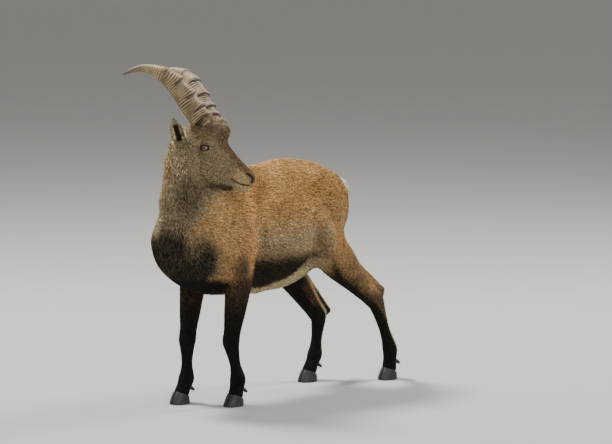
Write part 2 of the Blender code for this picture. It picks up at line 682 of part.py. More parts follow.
def raise_relief(made):
    """Moves each point out along its normal by the sum of the body's soft bumps there."""
    places = [np.array(tuple(vert.co)) for vert in made.data.vertices]
    normals = [vert.normal.copy() for vert in made.data.vertices]
    for vert, place, normal in zip(made.data.vertices, places, normals):
        rise = 0.0
        for centre, sizes, height in BODY_RELIEF:
            for sign in (1, -1) if centre[0] else (1,):
                offset = (place - on_side(centre, sign)) / sizes
                rise += height * math.exp(-float(offset @ offset))
        vert.co += normal * rise
    made.data.update()


def fused(name, forms, voxel):
    made = add_mesh(name, merged(forms), FLESH)
    remesh = made.modifiers.new("fuse", "REMESH")
    remesh.mode = "VOXEL"
    remesh.voxel_size = voxel
    return applied(made)


def thinned(made, triangles):
    made.data.calc_loop_triangles()
    thin = made.modifiers.new("thin", "DECIMATE")
    thin.ratio = triangles / len(made.data.loop_triangles)
    thin.use_collapse_triangulate = True
    return applied(made)


def cut(made, forms, name):
    """Takes the forms out of the object."""
    tool = add_mesh(name, merged(forms), CUTTERS)
    tool.hide_render = True
    tool.display_type = "WIRE"
    boolean = made.modifiers.new(name, "BOOLEAN")
    boolean.operation = "DIFFERENCE"
    boolean.solver = "EXACT"
    boolean.object = tool
    applied(made)


def swollen(made):
    """The object's own surface moved out along its normals by a little over the gap."""
    points = [vert.co + vert.normal * GAP * 1.2 for vert in made.data.vertices]
    return np.array([tuple(p) for p in points]), [tuple(face.vertices) for face in made.data.polygons]


def loose_parts(made):
    """The closed surfaces of a mesh, each as points and faces."""
    work = bmesh.new()
    work.from_mesh(made.data)
    bmesh.ops.remove_doubles(work, verts=work.verts, dist=0.00002)
    work.verts.ensure_lookup_table()
    seen, parts = set(), []
    for first in work.verts:
        if first.index in seen:
            continue
        group, stack = [], [first]
        seen.add(first.index)
        while stack:
            vert = stack.pop()
            group.append(vert)
            for edge in vert.link_edges:
                other = edge.other_vert(vert)
                if other.index not in seen:
                    seen.add(other.index)
                    stack.append(other)
        place = {vert.index: k for k, vert in enumerate(group)}
        faces = {face for vert in group for face in vert.link_faces}
        parts.append((np.array([tuple(vert.co) for vert in group]),
                      [tuple(place[vert.index] for vert in face.verts) for face in sorted(faces, key=lambda f: f.index)]))
    work.free()
    return sorted(parts, key=lambda part: -len(part[0]))


def material(name, colour, roughness):
    made = bpy.data.materials.new(name)
    made.use_nodes = True
    shader = made.node_tree.nodes["Principled BSDF"]
    shader.inputs["Base Color"].default_value = (*colour, 1)
    shader.inputs["Roughness"].default_value = roughness
    made.diffuse_color = (*colour, 1)
    return made


LOOKS = {
    "torso": ((0.42, 0.24, 0.11), 0.85),
    "neck": ((0.26, 0.17, 0.11), 0.85),
    "head": ((0.30, 0.21, 0.14), 0.8),
    "tail": ((0.72, 0.66, 0.55), 0.85),
    "fore": ((0.05, 0.035, 0.025), 0.8),
    "hind": ((0.12, 0.07, 0.04), 0.8),
    "ear": ((0.35, 0.28, 0.22), 0.8),
    "eye": ((0.12, 0.05, 0.02), 0.1),
    "horn": ((0.36, 0.29, 0.19), 0.6),
    "claw": ((0.03, 0.025, 0.02), 0.5),
    "dewclaw": ((0.03, 0.025, 0.02), 0.5),
}


def finished(name, form):
    """A named node moved to the model's frame, with its own material."""
    made = add_mesh(name, (form[0] + SHIFT, form[1]), FLESH)
    look = next(LOOKS[word] for word in name.split("_") if word in LOOKS)
    made.data.materials.append(material(name, *look))
    made.data.shade_smooth()
    return made


for old in list(bpy.data.objects):
    bpy.data.objects.remove(old)
FLESH = bpy.data.collections.new("ibex")
CUTTERS = bpy.data.collections.new("cutters")
for collection in (FLESH, CUTTERS):
    bpy.context.scene.collection.children.link(collection)

body = fused("body", body_forms(), BODY_VOXEL)
relax(body, lambda p: np.clip((p[:, 2] - 0.38) / 0.12, 0.08, 0.6), 22)
thinned(body, BODY_TRIANGLES)
raise_relief(body)
cut(body, [plate(HEAD_CUT[0], HEAD_CUT[1], LEFT, (0.12, 0.12), 0.40, 0.20 - GAP / 2)], "above_neck")
feet = [joints[side] for joints in (FORE_JOINTS, HIND_JOINTS) for side, _ in SIDES]
cut(body, [dewclaw(foot, sign, GAP) for foot in feet for _, sign in SIDES] + [tail(GAP)], "pockets")
cut(body, body_cuts(), "cuts")

head = fused("head", head_forms(), HEAD_VOXEL)
relax(head, lambda p: np.full(len(p), 0.5), 8)
relax(head, lambda p: 0.6 * np.clip((((p - HEAD_AT) @ head_axes()[2]) - CROWN_FROM) / 0.015, 0, 1), 30)
thinned(head, HEAD_TRIANGLES)
cut(head, [plate(HEAD_CUT[0], HEAD_CUT[1], LEFT, (0.30, 0.30), 0.40, -0.20 + GAP / 2)], "below_head")
cut(head, [mouth_blade()], "mouth")
for side, sign in SIDES:
    cut(head, [horn(sign, GAP)], "horn_pocket_" + side)
    cut(head, [eye(sign, GAP)], "eye_pocket_" + side)
    cut(head, [eye_opening(sign)], "eye_opening_" + side)
    cut(head, [nostril(sign)], "nostril_" + side)

ANCHORS = {"torso": (0, 0.2, 0.6), "neck": (-0.02, -0.15, 0.77)}
for side, _ in SIDES:
    for limb, joints in (("fore", FORE_JOINTS[side]), ("hind", HIND_JOINTS[side])):
        joints = np.array(joints)
        ANCHORS["%s_upper_%s" % (limb, side)] = (joints[1] + 2 * joints[2]) / 3
        ANCHORS["%s_lower_%s" % (limb, side)] = (joints[2] + joints[3]) / 2

pieces = loose_parts(body)
bpy.data.objects.remove(body)
left_over = dict(ANCHORS)
for form in pieces:
    middle = form[0].mean(0)
    if len(form[0]) < 40 or not left_over:
        continue
    name = min(left_over, key=lambda key: np.linalg.norm(np.array(left_over[key]) - middle))
    del left_over[name]
    finished(name, form)
face = loose_parts(head)[0]
bpy.data.objects.remove(head)
face = finished("head", face)
finished("tail", tail())
for side, sign in SIDES:
    finished("horn_" + side, horn(sign))
    whole = add_mesh("whole_ear_" + side, ear(sign), FLESH)
    cut(whole, [(swollen(face)[0] - SHIFT, swollen(face)[1])], "skull_" + side)
    finished("ear_" + side, loose_parts(whole)[0])
    bpy.data.objects.remove(whole)
    finished("eye_" + side, eye(sign))
    for limb, joints in (("fore", FORE_JOINTS[side]), ("hind", HIND_JOINTS[side])):
        for inner, turn in (("inner", -sign), ("outer", sign)):
            finished("claw_%s_%s_%s" % (limb, side, inner), claw(joints, turn))
            finished("dewclaw_%s_%s_%s" % (limb, side, inner), dewclaw(joints, turn))
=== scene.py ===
"""A young male alpine ibex, life size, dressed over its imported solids.

Metres, +Z up, feet on z = 0. The animal faces -Y and its left side is +X.
One closed skin stands for every node of flesh. Over it lie tufts of hair as solid mesh.
Horns, eyes, claws and dewclaws are pieces of their own.
"""

import math

import bmesh
import bpy
import numpy as np
from bpy.props import FloatProperty, FloatVectorProperty, IntProperty, PointerProperty
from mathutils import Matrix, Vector


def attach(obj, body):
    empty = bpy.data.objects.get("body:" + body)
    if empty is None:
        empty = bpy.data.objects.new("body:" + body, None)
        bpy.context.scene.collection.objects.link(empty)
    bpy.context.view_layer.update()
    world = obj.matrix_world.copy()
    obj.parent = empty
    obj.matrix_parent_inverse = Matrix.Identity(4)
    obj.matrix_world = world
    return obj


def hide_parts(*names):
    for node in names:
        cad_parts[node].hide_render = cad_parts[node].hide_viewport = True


bl_info = {
    "name": "Alpine ibex",
    "version": (1, 0, 0),
    "blender": (4, 5, 0),
    "location": "View3D > Sidebar > Ibex",
    "description": "Builds the skin, coat, horns, eyes and hooves of a standing young ibex",
    "category": "Add Mesh",
}

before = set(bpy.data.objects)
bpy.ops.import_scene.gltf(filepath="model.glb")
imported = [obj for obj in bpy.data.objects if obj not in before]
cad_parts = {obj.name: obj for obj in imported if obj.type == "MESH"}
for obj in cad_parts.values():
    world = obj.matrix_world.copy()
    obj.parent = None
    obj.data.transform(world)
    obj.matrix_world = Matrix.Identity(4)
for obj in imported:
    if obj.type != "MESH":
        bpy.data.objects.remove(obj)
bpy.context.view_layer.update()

SHIFT = np.array([0.0298, -0.2646, 0.0120])  # from the construction frame to the middle of the box
GROUND = -SHIFT[2]
FORWARD = np.array([0.0, -1.0, 0.0])
LEFT = np.array([1.0, 0.0, 0.0])
UP = np.array([0.0, 0.0, 1.0])
SIDES = (("left", 1), ("right", -1))

BODY_VOXEL = 0.0050
HEAD_VOXEL = 0.0020

# Trunk, from chest to rump: place along Y, top, level of the widest, bottom, half width,
# and how much the section narrows to its bottom
TRUNK = (
    (-0.262, 0.615, 0.570, 0.525, 0.046, 0.10),
    (-0.232, 0.690, 0.570, 0.455, 0.109, 0.20),
    (-0.160, 0.760, 0.565, 0.405, 0.137, 0.36),
    (-0.060, 0.800, 0.565, 0.376, 0.143, 0.42),
    (0.060, 0.813, 0.555, 0.366, 0.148, 0.36),
    (0.180, 0.817, 0.550, 0.363, 0.158, 0.24),
    (0.300, 0.830, 0.560, 0.369, 0.157, 0.16),
    (0.400, 0.821, 0.580, 0.406, 0.143, 0.12),
    (0.480, 0.803, 0.605, 0.462, 0.127, 0.10),
    (0.540, 0.776, 0.625, 0.505, 0.099, 0.10),
    (0.585, 0.756, 0.640, 0.540, 0.074, 0.05),
    (0.615, 0.722, 0.650, 0.580, 0.040, 0.00),
)
TRUNK_RIDGE = 0.20  # how much a section narrows to its top

# Neck, from shoulders to poll: place, half side, half towards throat, half towards nape,
# and the turn of the throat from the body's heading in degrees
NECK = (
    (0.000, -0.020, 0.600, 0.116, 0.150, 0.150, 0.0),
    (-0.017, -0.129, 0.685, 0.110, 0.114, 0.134, 6.0),
    (-0.020, -0.152, 0.755, 0.082, 0.086, 0.096, 42.0),
    (-0.025, -0.148, 0.820, 0.067, 0.076, 0.076, 76.0),
    (-0.0325, -0.1345, 0.880, 0.059, 0.076, 0.066, 102.0),
    (-0.0385, -0.1220, 0.925, 0.046, 0.055, 0.050, 110.0),
)

# Legs: joints, then half thickness to the side, the front and the back at places
# counted in joints
FORE_JOINTS = {
    "left": ((0.106, -0.140, 0.590), (0.100, 0.004, 0.462), (0.080, -0.024, 0.214),
             (0.083, 0.007, 0.078), (0.085, -0.006, 0.024)),
    "right": ((-0.106, -0.150, 0.590), (-0.100, -0.026, 0.462), (-0.080, -0.080, 0.208),
              (-0.083, -0.083, 0.074), (-0.085, -0.104, 0.024)),
}
HIND_JOINTS = {
    "left": ((0.082, 0.462, 0.660), (0.112, 0.442, 0.500), (0.095, 0.702, 0.290),
             (0.090, 0.786, 0.098), (0.090, 0.782, 0.026)),
    "right": ((-0.082, 0.455, 0.650), (-0.114, 0.412, 0.470), (-0.094, 0.602, 0.226),
              (-0.089, 0.574, 0.082), (-0.087, 0.544, 0.026)),
}
FORE_PROFILE = (
    (0.55, 0.046, 0.072, 0.080),
    (0.85, 0.045, 0.070, 0.070),
    (1.00, 0.043, 0.065, 0.058),
    (1.30, 0.039, 0.050, 0.049),
    (1.60, 0.034, 0.042, 0.040),
    (1.85, 0.0290, 0.033, 0.031),
    (2.00, 0.0300, 0.034, 0.0290),
    (2.20, 0.0240, 0.027, 0.025),
    (2.55, 0.0185, 0.0205, 0.021),
    (2.80, 0.0210, 0.023, 0.026),
    (3.00, 0.0270, 0.029, 0.031),
    (3.50, 0.0245, 0.027, 0.026),
    (4.00, 0.0275, 0.030, 0.025),
    (4.35, 0.0280, 0.032, 0.025),
)
HIND_PROFILE = (
    (0.00, 0.056, 0.100, 0.070),
    (0.50, 0.055, 0.092, 0.064),
    (1.00, 0.050, 0.086, 0.071),
    (1.25, 0.045, 0.074, 0.066),
    (1.55, 0.037, 0.058, 0.044),
    (1.85, 0.029, 0.045, 0.032),
    (2.00, 0.0280, 0.040, 0.032),
    (2.20, 0.0230, 0.030, 0.028),
    (2.55, 0.0190, 0.022, 0.022),
    (2.80, 0.0215, 0.023, 0.025),
    (3.00, 0.0265, 0.028, 0.030),
    (3.50, 0.0240, 0.026, 0.025),
    (4.00, 0.0270, 0.029, 0.025),
    (4.35, 0.0275, 0.031, 0.025),
)
LEG_END = 4.12  # where the flesh of a leg ends inside its claws

# Muscles and bony points that stand out of the tubes: two ends and two radii.
# The side's sign is put on each x.
MUSCLES = (
    ((0.048, 0.030, 0.740), (0.088, -0.125, 0.605), 0.042, 0.056),  # shoulder blade
    ((0.080, -0.165, 0.575), (0.094, -0.110, 0.555), 0.052, 0.054),  # point of the shoulder
    ((0.092, -0.120, 0.570), (0.100, -0.012, 0.500), 0.052, 0.049),  # upper arm
    ((0.078, -0.150, 0.535), (0.094, -0.040, 0.460), 0.053, 0.048),  # breast to forearm
    ((0.094, 0.022, 0.620), (0.106, 0.022, 0.495), 0.050, 0.036),  # triceps
    ((0.108, 0.018, 0.480), (0.104, 0.030, 0.452), 0.028, 0.021),  # elbow
    ((0.062, 0.400, 0.730), (0.084, 0.450, 0.640), 0.062, 0.070),  # croup
    ((0.088, 0.370, 0.645), (0.114, 0.420, 0.525), 0.058, 0.056),  # front of the thigh
    ((0.066, 0.520, 0.660), (0.092, 0.484, 0.535), 0.040, 0.038),  # back of the thigh
    ((0.048, 0.565, 0.690), (0.066, 0.545, 0.645), 0.030, 0.030),  # seat bone
)
FLANK_FOLD = ((0.108, 0.330, 0.500), (0.112, 0.420, 0.470), 0.030, 0.044)
HEEL = (0.038, 0.023, 0.0190, 0.0155)  # from the hock: back off the cannon, up it, and two radii
TENDON = (0.42, 0.033, 0.0200, 0.0130)  # start between stifle and hock, back from it, two radii
WRIST = (0.024, 0.010, 0.0130)  # the small bone behind the knee: back, up and radius

# Head
HEAD_AT = np.array([0.0434, -0.0916, 0.9005])  # halfway between the eyes
HEAD_TURN = math.radians(110)  # from the body's heading, to the animal's left
HEAD_ROLL = math.radians(7)  # left side down
HEAD_PITCH = math.radians(33.5)  # nose down

# From poll to nose along the head's own axis: place, top, level of the widest, bottom,
# half width
HEAD = (
    (-0.122, -0.020, -0.045, -0.070, 0.030),
    (-0.100, 0.030, -0.028, -0.090, 0.050),
    (-0.060, 0.070, -0.010, -0.104, 0.057),
    (-0.020, 0.088, 0.002, -0.112, 0.056),
    (0.018, 0.075, 0.000, -0.116, 0.053),
    (0.052, 0.051, -0.010, -0.116, 0.046),
    (0.088, 0.042, -0.018, -0.108, 0.039),
    (0.124, 0.035, -0.024, -0.094, 0.0335),
    (0.154, 0.032, -0.019, -0.077, 0.0315),
    (0.179, 0.030, -0.013, -0.058, 0.0295),
    (0.196, 0.023, -0.012, -0.049, 0.0240),
    (0.209, 0.004, -0.014, -0.036, 0.0110),
)

# Ellipsoids added to the head: place (along, out, up), half sizes, mirrored when out > 0
HEAD_FORMS = (
    ((0.011, 0.0470, 0.002), (0.0230, 0.0190, 0.0205)),  # lids
    ((0.000, 0.0400, 0.021), (0.028, 0.0180, 0.0140)),  # brow
    ((0.034, 0.0220, -0.056), (0.070, 0.0230, 0.0500)),  # cheek
    ((-0.020, 0.0230, 0.074), (0.040, 0.0340, 0.0320)),  # forehead under the horns
    ((0.005, 0.0000, 0.070), (0.033, 0.0420, 0.0330)),  # forehead curls
    ((0.186, 0.0140, 0.004), (0.018, 0.0150, 0.0185)),  # nostril wing
    ((0.185, 0.0110, -0.042), (0.021, 0.0135, 0.0135)),  # lower lip
    ((-0.060, 0.0440, -0.048), (0.022, 0.0210, 0.0240)),  # root of the ear
)
# Collar of hair round the foot of a horn: place up the horn, half sizes along it, aside, to its front
COLLAR = (0.012, (0.026, 0.0370, 0.0450))
CROWN_FROM = 0.046  # level in the head above which the forehead and collars flow together

EYE_AT = (0.0115, 0.0485, 0.0020)
EYE_RADIUS = 0.0165
EYE_OPENING = (0.0160, 0.0092)  # half length and half height between the lids
EYE_RIM = (0.0250, 0.0122)  # half length and half height of the bare rim round the lids
EYE_SLANT = math.radians(36)
LID = 0.0030

# Mouth line: along, out, up, from the corner to the front
MOUTH = ((0.150, 0.0340, -0.0300), (0.168, 0.0320, -0.0285), (0.186, 0.0265, -0.0250),
         (0.199, 0.0165, -0.0185), (0.2070, 0.0, -0.0150))

# Middle of a horn in the level head: forward, out and up from between the eyes
HORN = (
    (-0.0025, 0.0315, 0.0710),
    (-0.0196, 0.0360, 0.0931),
    (-0.0577, 0.0460, 0.1421),
    (-0.0860, 0.0580, 0.1820),
    (-0.1176, 0.0720, 0.2183),
    (-0.1491, 0.0850, 0.2425),
    (-0.1849, 0.0960, 0.2564),
    (-0.2145, 0.1075, 0.2602),
    (-0.2418, 0.1180, 0.2537),
    (-0.2635, 0.1260, 0.2444),
    (-0.2805, 0.1320, 0.2333),
)
# Half depth of the horn at each of those places
HORN_HALF_DEPTH = (0.0385, 0.0390, 0.0385, 0.0360, 0.0325, 0.0265, 0.0195, 0.0145, 0.0105,
                   0.0070, 0.0025)
HORN_WIDTH_SHARE = 0.79
HORN_DRAWN_IN = 0.0006  # leaves room for the rings inside the solid horn
HORN_RINGS = 420
HORN_AROUND = 56
# Knobs on the front of a horn: length along it, height, and reach towards base and tip
KNOBS = ((0.030, 0.0070, 0.0060, 0.0130), (0.064, 0.0078, 0.0055, 0.0150),
         (0.120, 0.0078, 0.0055, 0.0180), (0.183, 0.0066, 0.0060, 0.0180),
         (0.234, 0.0034, 0.0070, 0.0150))

# Ear in the level head: forward, out and up
EAR_ROOT = (-0.076, 0.061, -0.010)
EAR_TIP = (-0.0995, 0.087, 0.089)
EAR_HALF_WIDTH = 0.0225
EAR_WALL = 0.0034

CLAW_HALF_WIDTH = 0.0285  # of both claws together
CLAW_FRONT = 0.0500
CLAW_BACK = 0.0230
CLAW_CLEFT = 0.0016
CLAW_SPREAD = 0.0035  # how far a toe's tip turns out from the cleft
CORONET_SLOPE = 0.42
CORONET_HEIGHT = 0.0330
DEWCLAW = (0.0085, 0.0240)  # radius and length

TAIL = (
    (0.0, 0.560, 0.724, 0.018, 0.010, 0.020),
    (0.0, 0.594, 0.730, 0.024, 0.011, 0.021),
    (0.0, 0.626, 0.720, 0.026, 0.012, 0.020),
    (0.0, 0.648, 0.692, 0.022, 0.011, 0.014),
    (0.0, 0.654, 0.662, 0.006, 0.004, 0.004),
)

TUFT_SWING = 0.17  # spread of a tuft's turn from the lie, in radians
TUFT_MIDDLE = 0.42  # where a tuft is widest, as a share of its length
TUFT_ROOT = 0.0010  # how deep its root is sunk in the skin
BAKE_PATCH = 0.003  # size of a tuft's patch on the coat's map

CAMERA_TARGET = (0.2352, -0.0416, 0.6373)
CAMERA_AZIMUTH = math.radians(44)
CAMERA_ELEVATION = math.radians(7)
CAMERA_DISTANCE = 12.0
CAMERA_LENS = 201.7


def unit(vector):
    return np.asarray(vector, float) / np.linalg.norm(vector)


def norms(rows):
    return np.linalg.norm(rows, axis=-1, keepdims=True)


def step(value, low, high):
    """0 below low, 1 above high, and 3t^2 - 2t^3 between."""
    t = np.clip((value - low) / (high - low), 0, 1)
    return t * t * (3 - 2 * t)


def spline(rows, count):
    """A Catmull-Rom curve through the rows, every column alike, in even steps."""
    rows = np.asarray(rows, float)
    ends = np.vstack([2 * rows[0] - rows[1], rows, 2 * rows[-1] - rows[-2]])
    place = np.linspace(0, len(rows) - 1, count)
    index = np.minimum(place.astype(int), len(rows) - 2)
    f = (place - index)[:, None]
    a, b, c, d = (ends[index + k] for k in range(4))
    return 0.5 * (2 * b + (c - a) * f + (2 * a - 5 * b + 4 * c - d) * f**2
                  + (3 * b - a - 3 * c + d) * f**3)


def skin_of(rings):
    """Points and faces of closed rings joined in order: quads i, i + 1 by j, j + 1, and a fan at each end."""
    count, around = rings.shape[:2]
    points = np.vstack([rings.reshape(-1, 3), rings[:1].mean(1), rings[-1:].mean(1)])
    row = np.arange(count - 1)[:, None] * around
    j = np.arange(around)
    k = (j + 1) % around
    quads = np.stack([row + j, row + k, row + around + k, row + around + j], -1).reshape(-1, 4)
    last = (count - 1) * around
    first_fan = np.stack([np.full(around, len(points) - 2), k, j], -1)
    last_fan = np.stack([np.full(around, len(points) - 1), last + j, last + k], -1)
    return points, [tuple(f) for f in quads.tolist() + first_fan.tolist() + last_fan.tolist()]


def section(around, power):
    """Shares across and along of a super-ellipse: cos and sin to the power 2 / power, signs kept."""
    angle = np.linspace(0, 2 * math.pi, around, endpoint=False)
    across = np.sign(np.cos(angle)) * np.abs(np.cos(angle)) ** (2 / power)
    along = np.sign(np.sin(angle)) * np.abs(np.sin(angle)) ** (2 / power)
    return across, along


def loft(centres, side, front, half_side, half_front, half_back, around=28, power=2.0,
         narrow_front=0.0, narrow_back=0.0):
    """A closed tube: centre + side * width * across + front * depth * along.

    The depth is half_front before the middle and half_back behind it, and the width
    narrows by a share times |along| on either half.
    """
    across, along = section(around, power)
    count = len(centres)
    side, front = (np.broadcast_to(v, (count, 3)) for v in (side, front))
    narrow = np.where(along > 0, np.broadcast_to(narrow_front, count)[:, None],
                      np.broadcast_to(narrow_back, count)[:, None]) * np.abs(along)
    depth = np.where(along > 0, half_front[:, None], half_back[:, None]) * along
    width = half_side[:, None] * across * (1 - narrow)
    return skin_of(centres[:, None] + side[:, None] * width[..., None]
                   + front[:, None] * depth[..., None])


def path_of(centres):
    path = np.gradient(centres, axis=0)
    return path / norms(path)


def across_path(direction, path):
    """The direction, turned square to the path at each of its points."""
    square = direction - path * (direction * path).sum(-1, keepdims=True)
    return square / norms(square)


def trunk_form():
    y, top, wide, bottom, half, keel = spline(TRUNK, 120).T
    centres = np.column_stack([np.zeros_like(y), y, wide])
    return loft(centres, LEFT, UP, half, top - wide, wide - bottom, 72, 2.15, TRUNK_RIDGE, keel)


def neck_rows(count):
    rows = spline(NECK, count)
    turn = np.radians(rows[:, 6])
    path = path_of(rows[:, :3])
    throat = across_path(np.column_stack([np.sin(turn), -np.cos(turn), 0 * turn]), path)
    return rows, path, throat


def neck_form():
    rows, path, throat = neck_rows(64)
    return loft(rows[:, :3], np.cross(path, throat), throat, *rows[:, 3:6].T, 56)


def level_axes():
    """Heading, left and up of the head with its roll but not its pitch."""
    heading = np.array([math.sin(HEAD_TURN), -math.cos(HEAD_TURN), 0.0])
    left = math.cos(HEAD_ROLL) * np.cross(UP, heading) - math.sin(HEAD_ROLL) * UP
    return heading, left, np.cross(heading, left)


def head_axes():
    """Forward, left and up of the head."""
    heading, left, up = level_axes()
    return (math.cos(HEAD_PITCH) * heading - math.sin(HEAD_PITCH) * up, left,
            math.sin(HEAD_PITCH) * heading + math.cos(HEAD_PITCH) * up)


LEVEL = np.array(level_axes())
HEADED = np.array(head_axes())


def head_point(along, left, up):
    return HEAD_AT + np.array((along, left, up)) @ HEADED


def level_point(along, left, up):
    return HEAD_AT + np.array((along, left, up)) @ LEVEL


def in_head(points):
    """Along, left and up of points in the construction frame, counted from between the eyes."""
    return (points - HEAD_AT) @ HEADED.T


def head_form():
    along, top, wide, bottom, half = spline(HEAD, 100).T
    centres = HEAD_AT + along[:, None] * HEADED[0] + wide[:, None] * HEADED[2]
    return loft(centres, HEADED[1], HEADED[2], half, top - wide, wide - bottom, 72, 2.2, 0.18, 0.25)


def ball(centre, axes, sizes, around=28, rows=18):
    """An ellipsoid on three axes: rings of radius sin(t) at -cos(t) along the first axis."""
    turn = np.linspace(0.03, math.pi - 0.03, rows)
    centres = centre - np.cos(turn)[:, None] * sizes[0] * axes[0]
    return loft(centres, axes[1], axes[2], *(np.sin(turn) * sizes[k] for k in (1, 2, 2)), around)


def capsule(start, end, radius_start, radius_end, around=28):
    """A tapered capsule: quarter circles at both ends of a straight taper."""
    start, end = np.array(start), np.array(end)
    axis = unit(end - start)
    side = unit(np.cross(axis, [0.31, 0.17, 0.93]))
    turn = np.linspace(0.08, math.pi / 2, 9)
    place = np.concatenate([-np.cos(turn) * radius_start,
                            np.linalg.norm(end - start) + np.cos(turn[::-1]) * radius_end])
    ring = np.concatenate([np.sin(turn) * radius_start, np.sin(turn[::-1]) * radius_end])
    return loft(start + axis * place[:, None], side, np.cross(axis, side), ring, ring, ring, around)


def leg_rows(joints, profile, count=128):
    """Centres and half sizes of a leg: its profile's places counted along the joints, then smoothed."""
    joints = np.array(joints)
    rows = spline(profile, count)
    rows = rows[rows[:, 0] <= LEG_END]
    place = np.clip(rows[:, 0], 0, len(joints) - 1.001)
    index = place.astype(int)
    share = (place - index)[:, None]
    centres = joints[index] * (1 - share) + joints[index + 1] * share
    centres += np.maximum(rows[:, 0] - (len(joints) - 1), 0)[:, None] * (joints[-1] - joints[-2])
    for _ in range(24):
        centres[1:-1] = (centres[:-2] + 2 * centres[1:-1] + centres[2:]) / 4
    return centres, rows


def leg_form(joints, profile):
    centres, rows = leg_rows(joints, profile)
    path = path_of(centres)
    front = across_path(FORWARD, path)
    return loft(centres, np.cross(path, front), front, *rows[:, 1:].T, 32)


def tail_form():
    rows = spline(TAIL, 30)
    path = path_of(rows[:, :3])
    front = across_path(UP, path)
    return loft(rows[:, :3], np.cross(path, front), front, *rows[:, 3:].T, 24)


def on_side(point, sign):
    """A place of the body, whose x takes the side's sign."""
    return np.array(point) * (sign, 1, 1)


def on_both(place, sign):
    """A place of the head, whose second number, out, takes the side's sign."""
    return np.array(place) * (1, sign, 1)


def body_forms():
    """Every closed form that the trunk, neck, legs and tail are fused from."""
    forms = [trunk_form(), neck_form(), tail_form()]
    for side, sign in SIDES:
        forms.append(leg_form(FORE_JOINTS[side], FORE_PROFILE))
        forms.append(leg_form(HIND_JOINTS[side], HIND_PROFILE))
        for start, end, first, last in MUSCLES + (FLANK_FOLD,):
            forms.append(capsule(on_side(start, sign), on_side(end, sign), first, last))
        stifle, hock, fetlock = np.array(HIND_JOINTS[side][1:4])
        cannon = unit(hock - fetlock)
        heel = hock + HEEL[0] * unit(np.cross(cannon, LEFT)) + HEEL[1] * cannon
        forms.append(capsule(hock, heel, HEEL[2], HEEL[3]))
        behind = unit(np.cross(stifle - hock, LEFT))
        start = stifle + TENDON[0] * (hock - stifle) + TENDON[1] * behind
        forms.append(capsule(start, heel, TENDON[2], TENDON[3]))
        knee = np.array(FORE_JOINTS[side][2])
        forms.append(ball(knee + (0, WRIST[0], WRIST[1]), np.eye(3), (WRIST[2],) * 3))
    return forms


def head_forms():
    forms = [head_form(), neck_form()]
    for (along, out, up), sizes in HEAD_FORMS:
        for sign in (1, -1) if out > 0 else (1,):
            forms.append(ball(head_point(along, sign * out, up), HEADED, sizes))
    for _, sign in SIDES:
        _, _, centres, side, front = horn_path(sign, 60)
        axis = unit(centres[3] - centres[0])
        forms.append(ball(centres[0] + axis * COLLAR[0], (axis, side[0], front[0]), COLLAR[1]))
    return forms


def ear_frame(sign):
    """Root and length of an ear, and its directions to the tip, to its side and out of its opening."""
    root, tip = (level_point(*on_both(place, sign)) for place in (EAR_ROOT, EAR_TIP))
    axis = unit(tip - root)
    opening = unit(HEADED[0] * 0.45 + sign * HEADED[1] + HEADED[2] * 0.15)
    opening = unit(opening - axis * (opening @ axis))
    return root, np.linalg.norm(tip - root), axis, np.cross(axis, opening), opening


def ear_form(sign):
    """A cupped leaf: each ring is an arc of half a turn for the back and the same arc, a wall
    nearer the opening, for the inside; its root is a solid stalk.
    """
    root, length, axis, side, opening = ear_frame(sign)
    shape = spline((
        (-0.13, 0.48, 0.10, 5.0), (0.00, 0.50, 0.25, 4.2), (0.07, 0.56, 0.70, 2.2),
        (0.16, 0.72, 1.05, 1.2), (0.28, 0.90, 1.10, 1.0), (0.42, 1.00, 1.00, 1.0),
        (0.57, 0.98, 0.85, 0.9), (0.72, 0.84, 0.66, 0.85), (0.85, 0.60, 0.45, 0.8),
        (0.95, 0.32, 0.25, 0.7), (1.00, 0.10, 0.10, 0.6)), 44)
    place, width, bend, wall = shape.T[..., None]
    half = EAR_HALF_WIDTH * width
    thick = EAR_WALL * wall * 0.8
    turn = np.linspace(-1, 1, 19)
    across = half * np.sin(turn * math.pi / 2 * np.minimum(1, 0.75 + 0.25 * bend))
    sunk = -half * bend * np.cos(turn * math.pi / 2) - thick / 2
    outer = axis * length * place[..., None] + across[..., None] * side + sunk[..., None] * opening
    edge = np.maximum(np.sqrt(np.clip(1 - (turn * 0.96) ** 2, 0, 1)), 0.35)
    inner = outer + (thick * edge)[..., None] * opening
    return skin_of(root + np.concatenate([outer, inner[:, ::-1]], 1))


def horn_path(sign, rings=HORN_RINGS):
    """Length along the horn, half depth, middle, and the directions across and to the front."""
    rows = spline(np.column_stack([HORN, HORN_HALF_DEPTH]), 400)
    length = np.concatenate([[0], np.cumsum(norms(np.diff(rows[:, :3], axis=0))[:, 0])])
    place = np.linspace(0, length[-1], rings)
    rows = np.column_stack([np.interp(place, length, column) for column in rows.T])
    centres = HEAD_AT + (rows[:, :3] * (1, sign, 1)) @ LEVEL
    path = path_of(centres)
    front = across_path(np.cross(HEADED[1], path), path)
    front *= np.sign(front[0] @ LEVEL[0])
    return place, rows[:, 3], centres, np.cross(path, front), front


# Soft bumps and dents of the head's skin: place (along, out, up), half sizes, height
FACE_RELIEF = (
    ((0.040, 0.040, -0.008), (0.016, 0.014, 0.010), -0.0030),  # pit before the eye
    ((0.075, 0.036, -0.030), (0.034, 0.016, 0.010), 0.0022),  # crest of the cheekbone
    ((0.085, 0.034, -0.060), (0.030, 0.018, 0.016), -0.0026),  # hollow under the crest
    ((0.020, 0.044, -0.062), (0.030, 0.020, 0.026), 0.0022),  # jaw muscle
    ((-0.034, 0.052, 0.004), (0.018, 0.016, 0.020), -0.0030),  # temple
    ((0.125, 0.030, 0.004), (0.024, 0.014, 0.012), -0.0022),  # behind the nostril
    ((0.176, 0.024, -0.010), (0.016, 0.012, 0.009), 0.0020),  # upper lip
    ((0.184, 0.016, -0.036), (0.014, 0.012, 0.008), 0.0016),  # lower lip
)
